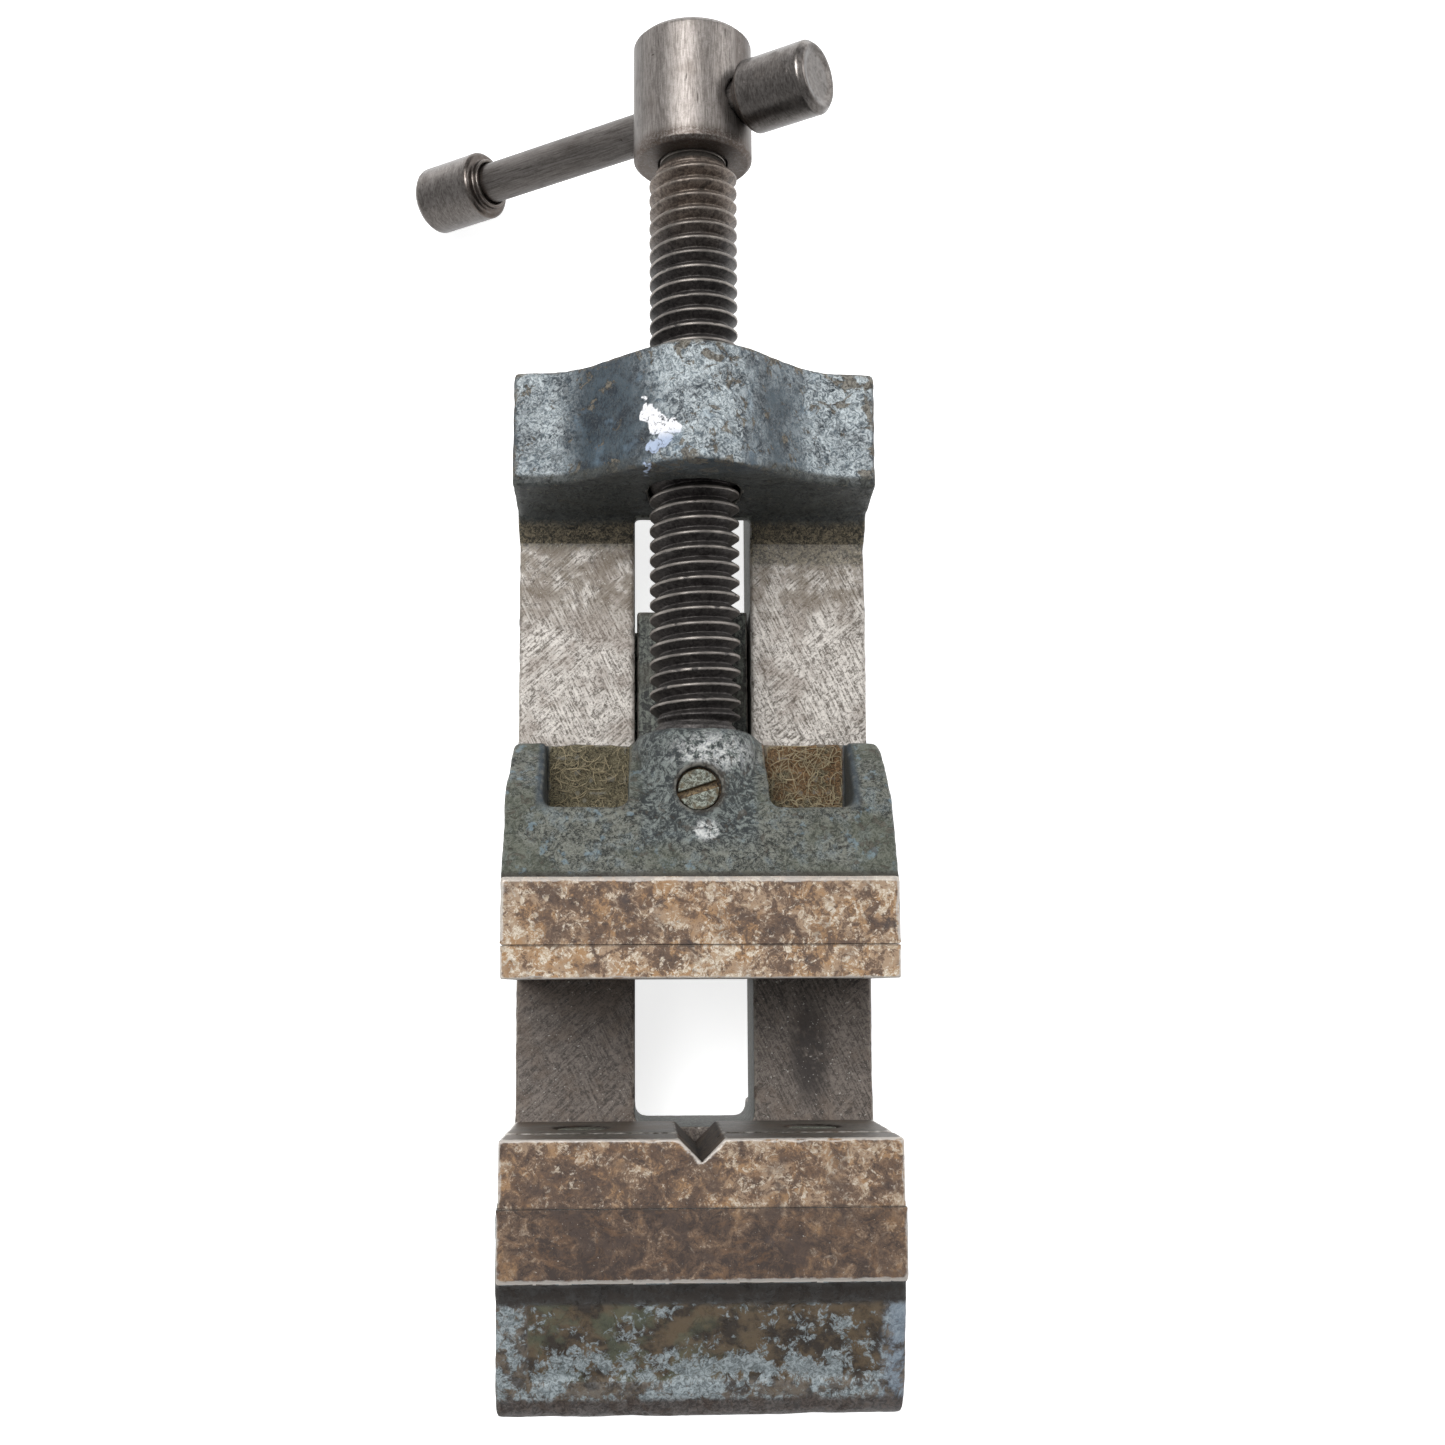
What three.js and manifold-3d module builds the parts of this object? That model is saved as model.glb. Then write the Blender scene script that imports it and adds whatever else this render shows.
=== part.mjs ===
// A small bench and drill-press vise with 2-1/2 inch jaws.
//
// Millimetres, +Z up. The origin lies on the flat underside, in the middle of the width, under the
// plane where the fixed jaw plate is seated. +Y runs along the slideways towards the handle, +X is
// to the right when the handle end points away from the viewer.

import * as THREE from 'three';
import { mergeVertices } from 'three/addons/utils/BufferGeometryUtils.js';
import Module from 'manifold-3d';

const wasm = await Module();
wasm.setup();

// ---------------------------------------------------------------- driving dimensions

const JAW_WIDTH = 63.5;
const HALF = JAW_WIDTH / 2;
const RAIL_TOP = 28; // height of the slideways above the underside
const JAW_TOP = 64.5; // height of the machined jaw tops
const FIT = 0.3; // clearance between neighbouring pieces

// Base casting: fixed jaw block, slideways and the bridge that carries the spindle.
const BLOCK_TOP_BACK = -11.3; // back edge of the machined top of the fixed jaw
const NOSE = -34.6; // front end of the sloping panel behind the fixed jaw
const NOSE_TOP = 50.9; // height of the panel at its front edge
const NOSE_ROOT = 60.6; // height of the panel where it meets the cove
const BLOCK_HALF_TOP = 32.0;
const BLOCK_HALF = 32.8; // half width of the block lower down, where it has flared
const PANEL = { half: 27.8, back: -15.2, front: -28.2, depth: 0.9 };
const BASE_END = 141.9;
const SLOT_HALF = 10.6;
const SLOT_START = 9.6;
const SLOT_CEILING = RAIL_TOP + 0.6; // the slot runs on under the bridge
const RECESS_HALF = 21; // hollow under the slideways, where the keeper plate runs
const RECESS_START = 13;
const RECESS_TOP = 9;
const BRIDGE_FRONT = 121.4;
const BRIDGE_FOOT = 115.4; // where the fillet of the bridge ends on the slideways
const SHOULDER = RAIL_TOP + 17; // height of the bridge at its sides
const CROWN_RISE = 16.8; // how far the crown stands above the shoulders
const CROWN_HALF = 27; // half width of the bell-shaped crown

// Jaw plates. Each face is where the work is held.
const FIXED_FACE = 10.7;
const MOVING_FACE = 35.5;
const MOVING_SEAT = 40.6;
const V_DEPTH = 3.65; // upright 90 degree V in the fixed plate, for round stock
const GROOVE_Z = JAW_TOP - 10.8; // level V across the fixed plate
const GROOVE_DEPTH = 1.2;
const PLATE_SCREW = { x: 19.5, z: 42.6, head: 4.2, shank: 2.4, cone: 2.4 };

// Moving jaw.
const JAW_TOP_BACK = 51.4; // back edge of its machined top
const JAW_BACK = 75.7; // upright back face
const JAW_BACK_TOP = 46; // height at which the convex back turns upright
const POCKET = { inner: 11.6, outer: 25.6, front: 63.4, floor: 43 };
const BOSS = { half: 10.7, start: 53, end: 77.0, topStart: 63.0, topEnd: 56.6 };
const TONGUE = { half: 10.2, front: 36, back: 103.1, top: 25, bottom: 9 };

// Keeper plate under the slideways, with its screws.
const KEEPER = { half: 20.4, front: 40, back: 102.6, bottom: 2.6, top: 8.7 };
const KEEPER_SCREWS = { front: 50, rear: 89 };
const KEEPER_SCREW = { shank: 2.6, head: 4.8, headBottom: 1.3, headTop: 4.4, tip: 20 };
const COUNTERBORE = { radius: 5.9, top: 6.0 };

// Spindle.
const AXIS_Z = 41;
const PITCH = 2.67;
const CREST = 7.94; // 5/8 inch thread
const ROOT = 6.35;
const THREAD = { start: 79.4, end: 181.2 };
const SPINDLE_TIP = 58.6;
const JOURNAL = 6.35; // plain nose that turns in the moving jaw
const GROOVE = { y: 66.4, half: 2.4, radius: 4.3 };
const SOCKET = { radius: 6.65, end: 56 };
const STUB = 6.0; // turned-down end inside the head
const HEAD = { start: 182.4, end: 205.6, radius: 10.75, bore: 6.3, hole: 4.05 };

// Handle bar, which slides through the head. Rest is with its upper cap against the head.
const BAR_Y = 191.8;
const BAR_TILT = THREE.MathUtils.degToRad(35);
const BAR_RADIUS = 3.75;
const CAP = { radius: 6.4, length: 15.2, collar: 1.2, collarRadius: 4.7, bore: 4.05, depth: 11 };
const BAR_LOW = -47.4; // inner end of the lower, left cap, measured from the spindle axis
const BAR_HIGH = 11.1; // inner end of the upper, right cap

// ---------------------------------------------------------------- solids

// A closed three.js geometry as a manifold-3d solid. Faces that collapse on the axis of a lathe
// are dropped.
function solid(geometry) {
  const bare = geometry.clone();
  bare.deleteAttribute('normal');
  bare.deleteAttribute('uv');
  const merged = mergeVertices(bare, 1e-4);
  const index = merged.index.array;
  const faces = [];
  for (let i = 0; i < index.length; i += 3) {
    const [a, b, c] = [index[i], index[i + 1], index[i + 2]];
    if (a !== b && b !== c && c !== a) faces.push(a, b, c);
  }
  return new wasm.Manifold(new wasm.Mesh({
    numProp: 3,
    vertProperties: new Float32Array(merged.attributes.position.array),
    triVerts: new Uint32Array(faces),
  }));
}

function box(x0, x1, y0, y1, z0, z1) {
  const geometry = new THREE.BoxGeometry(x1 - x0, y1 - y0, z1 - z0);
  geometry.translate((x0 + x1) / 2, (y0 + y1) / 2, (z0 + z1) / 2);
  return solid(geometry);
}

// An outline through corners [u, v, radius]; a radius rounds its corner.
function outline(corners) {
  const shape = new THREE.Shape();
  const count = corners.length;
  corners.forEach(([u, v, radius = 0], i) => {
    const here = new THREE.Vector2(u, v);
    const before = new THREE.Vector2(...corners[(i + count - 1) % count]).sub(here);
    const after = new THREE.Vector2(...corners[(i + 1) % count]).sub(here);
    const cut = radius / Math.tan(before.angleTo(after) / 2);
    const enter = before.clone().setLength(cut).add(here);
    const leave = after.clone().setLength(cut).add(here);
    if (i === 0) shape.moveTo(enter.x, enter.y);
    else shape.lineTo(enter.x, enter.y);
    if (radius > 0) shape.quadraticCurveTo(u, v, leave.x, leave.y);
  });
  shape.closePath();
  return shape;
}

function extrude(shape, length, segments = 5) {
  return new THREE.ExtrudeGeometry(shape, {
    depth: length,
    bevelEnabled: false,
    curveSegments: segments,
  });
}

// Prism along X of an outline in (y, z).
function prismX(corners, x0, x1) {
  const geometry = extrude(outline(corners), x1 - x0);
  const turn = new THREE.Matrix4().makeBasis(
    new THREE.Vector3(0, 1, 0),
    new THREE.Vector3(0, 0, 1),
    new THREE.Vector3(1, 0, 0),
  );
  geometry.applyMatrix4(turn);
  geometry.translate(x0, 0, 0);
  return solid(geometry);
}

// Prism along Y of an outline in (x, z).
function prismY(corners, y0, y1) {
  const swapped = corners.map(([x, z, radius = 0]) => [z, x, radius]);
  const geometry = extrude(outline(swapped), y1 - y0);
  const turn = new THREE.Matrix4().makeBasis(
    new THREE.Vector3(0, 0, 1),
    new THREE.Vector3(1, 0, 0),
    new THREE.Vector3(0, 1, 0),
  );
  geometry.applyMatrix4(turn);
  geometry.translate(0, y0, 0);
  return solid(geometry);
}

// Prism along Z of an outline in (x, y).
function prismZ(corners, z0, z1) {
  const geometry = extrude(outline(corners), z1 - z0);
  geometry.translate(0, 0, z0);
  return solid(geometry);
}

// A body turned about Y, from [radius, y] pairs in rising order.
function turned(profile, segments = 32) {
  const points = profile.map(([radius, y]) => new THREE.Vector2(radius, y));
  return solid(new THREE.LatheGeometry(points, segments));
}

function rodY(radius, y0, y1, x = 0, z = 0, segments = 32) {
  const geometry = new THREE.CylinderGeometry(radius, radius, y1 - y0, segments);
  geometry.translate(x, (y0 + y1) / 2, z);
  return solid(geometry);
}

function rodZ(radius, z0, z1, x = 0, y = 0, segments = 24) {
  const geometry = new THREE.CylinderGeometry(radius, radius, z1 - z0, segments);
  geometry.rotateX(Math.PI / 2);
  geometry.translate(x, y, (z0 + z1) / 2);
  return solid(geometry);
}

// A skin over rings of equal length, closed by a fan at each end. The rings are convex and run
// anticlockwise seen from where the last ring is.
function loft(rings) {
  const size = rings[0].length;
  const middle = (ring) => ring.reduce((sum, p) => sum.add(p), new THREE.Vector3()).divideScalar(size);
  const points = [...rings.flat(), middle(rings[0]), middle(rings[rings.length - 1])];
  const [first, last] = [points.length - 2, points.length - 1];
  const faces = [];
  for (let i = 0; i < size; i += 1) {
    const next = (i + 1) % size;
    for (let k = 0; k + 1 < rings.length; k += 1) {
      const [a, b] = [k * size + i, k * size + next];
      faces.push(a, b, b + size, a, b + size, a + size);
    }
    const top = (rings.length - 1) * size;
    faces.push(first, next, i, last, top + i, top + next);
  }
  const geometry = new THREE.BufferGeometry().setFromPoints(points);
  geometry.setIndex(faces);
  return solid(geometry);
}

// A right-hand V thread about Y. Each column of the skin runs along the axis over crests and
// roots; column by column the pattern rises, and after a full turn it has risen by one pitch.
function helix(y0, y1, columns = 14) {
  const radii = [ROOT, CREST, CREST]; // a sharp root, and a crest with a small flat
  const steps = [0, 0.43, 0.57];
  const perTurn = steps.length;
  const turns = Math.ceil((y1 - y0) / PITCH) + 2;
  const points = [];
  const columnStart = [];
  for (let i = 0; i < columns; i += 1) {
    columnStart.push(points.length);
    const angle = (2 * Math.PI * i) / columns;
    const rows = perTurn * (i === 0 ? turns + 1 : turns) + 1;
    for (let k = 0; k < rows; k += 1) {
      const radius = radii[k % perTurn];
      const turn = Math.floor(k / perTurn) + steps[k % perTurn] + i / columns;
      const y = y0 - PITCH + turn * PITCH;
      points.push(new THREE.Vector3(radius * Math.sin(angle), y, radius * Math.cos(angle)));
    }
  }
  const at = (i, k) => (i === columns ? columnStart[0] + k + perTurn : columnStart[i] + k);
  const lastRow = perTurn * turns;
  const low = points.push(new THREE.Vector3(0, y0 - PITCH / 2, 0)) - 1;
  const high = points.push(new THREE.Vector3(0, y0 + (turns - 0.5) * PITCH, 0)) - 1;
  const faces = [];
  for (let i = 0; i < columns; i += 1) {
    for (let k = 0; k < lastRow; k += 1) {
      faces.push(at(i, k), at(i + 1, k), at(i + 1, k + 1));
      faces.push(at(i, k), at(i + 1, k + 1), at(i, k + 1));
    }
    faces.push(low, at(i + 1, 0), at(i, 0));
    faces.push(high, at(i, lastRow), at(i + 1, lastRow));
  }
  for (let k = 0; k < perTurn; k += 1) {
    faces.push(low, at(0, k), at(0, k + 1));
    faces.push(high, at(0, lastRow + k + 1), at(0, lastRow + k));
  }
  const geometry = new THREE.BufferGeometry().setFromPoints(points);
  geometry.setIndex(faces);
  return solid(geometry);
}

// ---------------------------------------------------------------- materials

const FINISHES = {
  paint: { color: 0x6d7a7e, roughness: 0.7, metalness: 0.2 },
  jawPaint: { color: 0x5d675f, roughness: 0.75, metalness: 0.2 },
  plate: { color: 0xa08a6c, roughness: 0.6, metalness: 0.5 },
  screw: { color: 0x6b6048, roughness: 0.65, metalness: 0.6 },
  black: { color: 0x3a3836, roughness: 0.45, metalness: 0.8 },
  bright: { color: 0x8f8880, roughness: 0.35, metalness: 0.9 },
};

const vise = new THREE.Group();

function add(name, body, finish, parent = vise) {
  const data = body.getMesh();
  const geometry = new THREE.BufferGeometry();
  geometry.setAttribute('position', new THREE.BufferAttribute(data.vertProperties, 3));
  geometry.setIndex(new THREE.BufferAttribute(data.triVerts, 1));
  geometry.computeVertexNormals();
  const mesh = new THREE.Mesh(geometry, new THREE.MeshStandardMaterial(FINISHES[finish]));
  mesh.name = name;
  parent.add(mesh);
  return mesh;
}

// ---------------------------------------------------------------- base casting

function jawBlock() {
  const side = prismX([
    [0, 0],
    [0, JAW_TOP],
    [BLOCK_TOP_BACK, JAW_TOP, 0.4],
    [BLOCK_TOP_BACK - 0.6, NOSE_ROOT + 0.6, 1.2],
    [BLOCK_TOP_BACK - 2.6, NOSE_ROOT, 1.2],
    [NOSE, NOSE_TOP, 4],
    [NOSE + 0.8, 0],
  ], -BLOCK_HALF - 1, BLOCK_HALF + 1);
  const front = prismY([
    [-BLOCK_HALF, 0],
    [-BLOCK_HALF, NOSE_TOP, 8],
    [-BLOCK_HALF_TOP, JAW_TOP],
    [BLOCK_HALF_TOP, JAW_TOP],
    [BLOCK_HALF, NOSE_TOP, 8],
    [BLOCK_HALF, 0],
  ], NOSE - 1, 1);
  const slope = (NOSE_ROOT - NOSE_TOP) / (BLOCK_TOP_BACK - 2.6 - NOSE);
  const height = (y) => NOSE_TOP + (y - NOSE) * slope - PANEL.depth;
  const panel = prismX([
    [PANEL.back, height(PANEL.back)],
    [PANEL.back + 0.5, JAW_TOP],
    [PANEL.front - 0.5, JAW_TOP],
    [PANEL.front, height(PANEL.front)],
  ], -PANEL.half, PANEL.half);
  return side.intersect(front).subtract(panel);
}

// The bridge: a bell-shaped crown over level shoulders, upright behind and filleted in front.
function bridge() {
  const steps = 14;
  const bell = Array.from({ length: steps + 1 }, (_, i) => {
    const x = CROWN_HALF * (1 - (2 * i) / steps);
    return [x, SHOULDER + (CROWN_RISE / 2) * (1 + Math.cos((Math.PI * x) / CROWN_HALF))];
  });
  const outlineXZ = [
    [-HALF - 0.2, RAIL_TOP - 2],
    [HALF + 0.2, RAIL_TOP - 2],
    [HALF + 0.2, SHOULDER, 1.5],
    ...bell,
    [-HALF - 0.2, SHOULDER, 1.5],
  ];
  const crown = SHOULDER + CROWN_RISE;
  const side = prismX([
    [BASE_END, RAIL_TOP - 2],
    [BASE_END, crown + 1, 2.5],
    [BRIDGE_FRONT - 0.6, crown + 1, 3.5],
    [BRIDGE_FRONT, SHOULDER],
    [BRIDGE_FRONT - 1.8, RAIL_TOP + 3, 4],
    [BRIDGE_FOOT, RAIL_TOP],
    [BRIDGE_FOOT, RAIL_TOP - 2],
  ], -HALF - 1, HALF + 1);
  return prismY(outlineXZ, BRIDGE_FOOT - 1, BASE_END + 1).intersect(side);
}

function baseCasting() {
  const slot = prismZ([
    [-SLOT_HALF, BASE_END + 5],
    [-SLOT_HALF, SLOT_START, 2.5],
    [SLOT_HALF, SLOT_START, 2.5],
    [SLOT_HALF, BASE_END + 5],
  ], -1, SLOT_CEILING);
  let body = box(-HALF, HALF, -1, BASE_END, 0, RAIL_TOP).add(jawBlock()).add(bridge());
  body = body.subtract(slot);
  body = body.subtract(box(-SLOT_HALF, SLOT_HALF, BRIDGE_FOOT - 1, BRIDGE_FRONT - 2, 0, RAIL_TOP + 4));
  body = body.subtract(box(-RECESS_HALF, RECESS_HALF, RECESS_START, BASE_END + 5, -1, RECESS_TOP));
  body = body.subtract(rodY(CREST + FIT, BRIDGE_FOOT - 4, BASE_END + 4, 0, AXIS_Z));
  for (const x of [-PLATE_SCREW.x, PLATE_SCREW.x]) {
    body = body.subtract(rodY(PLATE_SCREW.shank + FIT, -10.4, 1, x, PLATE_SCREW.z, 16));
  }
  return body;
}

add('base_casting', baseCasting(), 'paint');

// ---------------------------------------------------------------- jaw plates and their screws

// A slotted countersunk screw about Y with its head at faceY, pointing along direction (+1, -1).
function plateScrew(x, faceY, direction, length) {
  const { head, shank, cone, z } = PLATE_SCREW;
  const profile = [[0, 0], [head, 0], [head, 0.4], [shank, 0.4 + cone], [shank, length], [0, length]];
  const ordered = direction > 0
    ? profile.map(([radius, y]) => [radius, faceY + y])
    : profile.map(([radius, y]) => [radius, faceY - y]).reverse();
  const slotDepth = faceY + direction * 1.1;
  const body = turned(ordered, 24).translate([x, 0, z]);
  const cut = box(
    x - head - 1,
    x + head + 1,
    Math.min(faceY - direction, slotDepth),
    Math.max(faceY - direction, slotDepth),
    z - 0.55,
    z + 0.55,
  );
  return body.subtract(cut);
}

// The countersunk hole of a plate screw, a fit wider than the screw.
function plateHole(x, faceY, direction) {
  const { head, shank, cone, z } = PLATE_SCREW;
  const wide = head + FIT;
  const narrow = shank + FIT;
  const profile = [[0, -1], [wide, -1], [wide, 0.7], [narrow, 0.7 + cone], [narrow, 14], [0, 14]];
  const ordered = direction > 0
    ? profile.map(([radius, y]) => [radius, faceY + y])
    : profile.map(([radius, y]) => [radius, faceY - y]).reverse();
  return turned(ordered, 24).translate([x, 0, z]);
}

function fixedPlate() {
  const v = V_DEPTH;
  let body = prismZ([
    [-HALF, FIT],
    [HALF, FIT],
    [HALF, FIXED_FACE],
    [v, FIXED_FACE],
    [0, FIXED_FACE - v],
    [-v, FIXED_FACE],
    [-HALF, FIXED_FACE],
  ], RAIL_TOP + FIT, JAW_TOP);
  body = body.subtract(prismX([
    [FIXED_FACE - GROOVE_DEPTH, GROOVE_Z],
    [FIXED_FACE + 1, GROOVE_Z - GROOVE_DEPTH - 1],
    [FIXED_FACE + 1, GROOVE_Z + GROOVE_DEPTH + 1],
  ], -HALF - 1, HALF + 1));
  for (const x of [-PLATE_SCREW.x, PLATE_SCREW.x]) body = body.subtract(plateHole(x, FIXED_FACE, -1));
  return body;
}

function movingPlate() {
  let body = box(-HALF, HALF, MOVING_FACE, MOVING_SEAT, RAIL_TOP + FIT, JAW_TOP);
  for (const x of [-PLATE_SCREW.x, PLATE_SCREW.x]) body = body.subtract(plateHole(x, MOVING_FACE, 1));
  return body;
}

add('fixed_jaw_plate', fixedPlate(), 'plate');
add('moving_jaw_plate', movingPlate(), 'plate');
for (const [side, x] of [['left', -PLATE_SCREW.x], ['right', PLATE_SCREW.x]]) {
  add(`fixed_jaw_screw_${side}`, plateScrew(x, FIXED_FACE - 0.2, -1, 20), 'screw');
  add(`moving_jaw_screw_${side}`, plateScrew(x, MOVING_FACE + 0.2, 1, 15), 'screw');
}

// ---------------------------------------------------------------- moving jaw

// The boss over the spindle's nose: an arch whose crown falls a little towards the handle.
function boss() {
  const rings = [BOSS.start, BOSS.end - 1.2, BOSS.end].map((y, k) => {
    const inset = k === 2 ? 1.2 : 0;
    const fall = (y - BOSS.start) / (BOSS.end - BOSS.start);
    const top = BOSS.topStart + (BOSS.topEnd - BOSS.topStart) * fall - inset;
    const half = BOSS.half - inset;
    const ring = [new THREE.Vector3(-half, y, RAIL_TOP + FIT)];
    for (let i = 0; i <= 16; i += 1) {
      const angle = Math.PI * (1 - i / 16);
      const up = top - half + half * Math.sin(angle);
      ring.push(new THREE.Vector3(half * Math.cos(angle), y, up));
    }
    ring.push(new THREE.Vector3(half, y, RAIL_TOP + FIT));
    return ring;
  });
  return loft(rings);
}

function movingJawCasting() {
  const seat = MOVING_SEAT + FIT;
  const side = prismX([
    [seat, RAIL_TOP + FIT],
    [seat, JAW_TOP],
    [JAW_TOP_BACK, JAW_TOP],
    [JAW_TOP_BACK + 0.5, JAW_TOP - 0.6],
    [(JAW_TOP_BACK + JAW_BACK) / 2 + 3, JAW_TOP - 7.6, 12],
    [JAW_BACK, JAW_BACK_TOP, 2],
    [JAW_BACK, RAIL_TOP + FIT],
  ], -HALF - 0.2, HALF + 0.2);
  const plan = prismZ([
    [-HALF - 0.1, seat - 1],
    [HALF + 0.1, seat - 1],
    [HALF + 0.1, JAW_BACK - 12, 20],
    [HALF - 0.4, JAW_BACK + 0.1, 1.6],
    [-HALF + 0.4, JAW_BACK + 0.1, 1.6],
    [-HALF - 0.1, JAW_BACK - 12, 20],
  ], 0, JAW_TOP + 1);
  let body = side.intersect(plan);
  for (const flip of [-1, 1]) {
    const [a, b] = [flip * POCKET.inner, flip * POCKET.outer];
    body = body.subtract(prismZ([
      [Math.min(a, b), JAW_BACK + 5],
      [Math.min(a, b), POCKET.front, 2],
      [Math.max(a, b), POCKET.front, 2],
      [Math.max(a, b), JAW_BACK + 5],
    ], POCKET.floor, JAW_TOP + 1));
  }
  const { half, front, back, top, bottom } = TONGUE;
  body = body.add(boss());
  body = body.add(box(-half, half, front, back, bottom, top));
  body = body.add(box(-half, half, seat, JAW_BACK - 0.4, top - 1, RAIL_TOP + 1));
  body = body.subtract(rodY(SOCKET.radius, SOCKET.end, BOSS.end + 1, 0, AXIS_Z));
  body = body.subtract(rodZ(3.75, AXIS_Z, JAW_TOP + 1, 0, GROOVE.y));
  for (const x of [-PLATE_SCREW.x, PLATE_SCREW.x]) {
    body = body.subtract(rodY(PLATE_SCREW.shank + FIT, seat - 1, seat + 10.6, x, PLATE_SCREW.z, 16));
  }
  for (const y of Object.values(KEEPER_SCREWS)) {
    body = body.subtract(rodZ(KEEPER_SCREW.shank + FIT, bottom - 1, KEEPER_SCREW.tip + 0.5, 0, y, 16));
  }
  return body;
}

add('moving_jaw_casting', movingJawCasting(), 'jawPaint');

// Hardened disc at the bottom of the socket, which takes the thrust of the spindle.
const pad = turned([[0, 56.3], [5.8, 56.3], [6.2, 56.7], [6.2, 58.3], [0, 58.3]]);
add('thrust_pad', pad.translate([0, 0, AXIS_Z]), 'bright');

// Slotted screw in the top of the boss: its dog point runs in the groove of the spindle's nose.
function retainingScrew() {
  const top = 57.2;
  const dogPoint = rodZ(2, AXIS_Z + GROOVE.radius + FIT, top - 2, 0, GROOVE.y, 16);
  const body = rodZ(3.4, AXIS_Z + 7.2, top, 0, GROOVE.y).add(dogPoint);
  const slot = box(-5, 5, -0.6, 0.6, top - 1.3, top + 1);
  return body.subtract(slot.rotate([0, 0, 18]).translate([0, GROOVE.y, 0]));
}

add('spindle_retaining_screw', retainingScrew(), 'screw');

// ---------------------------------------------------------------- keeper plate

function keeperPlate() {
  const { half, front, back, bottom, top } = KEEPER;
  let body = prismZ([
    [-half, front, 2],
    [half, front, 2],
    [half, back, 2],
    [-half, back, 2],
  ], bottom, top);
  for (const y of Object.values(KEEPER_SCREWS)) {
    body = body.subtract(rodZ(KEEPER_SCREW.shank + FIT, 0, top + 1, 0, y));
    body = body.subtract(rodZ(COUNTERBORE.radius, 0, COUNTERBORE.top, 0, y));
  }
  return body;
}

function keeperScrew(y) {
  const { shank, head, headBottom, headTop, tip } = KEEPER_SCREW;
  const body = rodZ(head, headBottom, headTop, 0, y).add(rodZ(shank, headBottom + 1, tip, 0, y, 16));
  return body.subtract(box(-head - 1, head + 1, y - 0.7, y + 0.7, headBottom - 1, headBottom + 1.3));
}

add('keeper_plate', keeperPlate(), 'plate');
for (const [place, y] of Object.entries(KEEPER_SCREWS)) {
  add(`keeper_screw_${place}`, keeperScrew(y), 'screw');
  const washer = rodZ(5.3, KEEPER_SCREW.headTop + FIT, COUNTERBORE.top - FIT, 0, y);
  const eye = rodZ(KEEPER_SCREW.shank + FIT, 0, COUNTERBORE.top + 1, 0, y);
  add(`keeper_washer_${place}`, washer.subtract(eye), 'bright');
}

// ---------------------------------------------------------------- spindle

// Direction of the handle bar, square to the spindle.
const barDirection = new THREE.Vector3(Math.cos(BAR_TILT), 0, Math.sin(BAR_TILT));

// Lays a body that was turned about Y along the handle bar.
function alongBar(body) {
  const lean = 90 - THREE.MathUtils.radToDeg(BAR_TILT);
  return body.rotate([0, 0, -90]).rotate([0, lean - 90, 0]).translate([0, BAR_Y, AXIS_Z]);
}

function spindleScrew() {
  const { start, end } = THREAD;
  const trim = turned([
    [0, start],
    [ROOT, start],
    [CREST + 0.1, start + 1.4],
    [CREST + 0.1, end - 1.4],
    [ROOT, end],
    [0, end],
  ]);
  const thread = helix(start, end).intersect(trim);
  const journal = turned([
    [0, SPINDLE_TIP],
    [JOURNAL - 0.8, SPINDLE_TIP],
    [JOURNAL, SPINDLE_TIP + 0.8],
    [JOURNAL, GROOVE.y - GROOVE.half],
    [GROOVE.radius, GROOVE.y - GROOVE.half],
    [GROOVE.radius, GROOVE.y + GROOVE.half],
    [JOURNAL, GROOVE.y + GROOVE.half],
    [JOURNAL, BOSS.end + 0.5],
    [7.2, BOSS.end + 0.5],
    [7.2, start],
    [5.8, start + 0.5],
    [0, start + 0.5],
  ]);
  const stub = turned([
    [0, end - 1],
    [STUB, end - 1],
    [STUB, HEAD.end - 1.4],
    [STUB - 0.8, HEAD.end - 0.6],
    [0, HEAD.end - 0.6],
  ]);
  const hole = alongBar(rodY(HEAD.hole, -20, 20));
  return thread.add(journal).add(stub).translate([0, 0, AXIS_Z]).subtract(hole);
}

function spindleHead() {
  const { start, end, radius, bore, hole } = HEAD;
  const body = turned([
    [bore, start],
    [radius - 0.7, start],
    [radius, start + 0.7],
    [radius, end - 1],
    [radius - 1, end],
    [bore, end],
    [bore, start],
  ], 40);
  return body.translate([0, 0, AXIS_Z]).subtract(alongBar(rodY(hole, -20, 20)));
}

add('spindle_screw', spindleScrew(), 'black');
add('spindle_head', spindleHead(), 'bright');

// ---------------------------------------------------------------- handle bar

// A cap: a low collar and a blind bore on the inside, chamfers and a dished face on the outside.
function barCap(inner, outward) {
  const { radius, length, collar, collarRadius, bore, depth } = CAP;
  const profile = [
    [bore, 0],
    [collarRadius, 0],
    [collarRadius, collar],
    [radius - 0.5, collar],
    [radius, collar + 0.5],
    [radius, length - 0.9],
    [radius - 0.9, length],
    [radius - 1.6, length],
    [radius - 2.6, length - 0.4],
    [0, length - 0.4],
    [0, depth],
    [bore, depth],
    [bore, 0],
  ];
  const placed = profile.map(([r, y]) => [r, inner + outward * y]);
  return alongBar(turned(outward > 0 ? placed : placed.reverse()));
}

function tommyBar() {
  const [low, high] = [BAR_LOW - CAP.depth + FIT, BAR_HIGH + CAP.depth - FIT];
  const profile = [
    [0, low],
    [BAR_RADIUS - 0.5, low],
    [BAR_RADIUS, low + 0.5],
    [BAR_RADIUS, high - 0.5],
    [BAR_RADIUS - 0.5, high],
    [0, high],
  ];
  return alongBar(turned(profile, 24));
}

const handle = new THREE.Group();
vise.add(handle);
add('tommy_bar', tommyBar(), 'bright', handle);
add('bar_cap_left', barCap(BAR_LOW, -1), 'bright', handle);
add('bar_cap_right', barCap(BAR_HIGH, 1), 'bright', handle);

export default vise;
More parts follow.
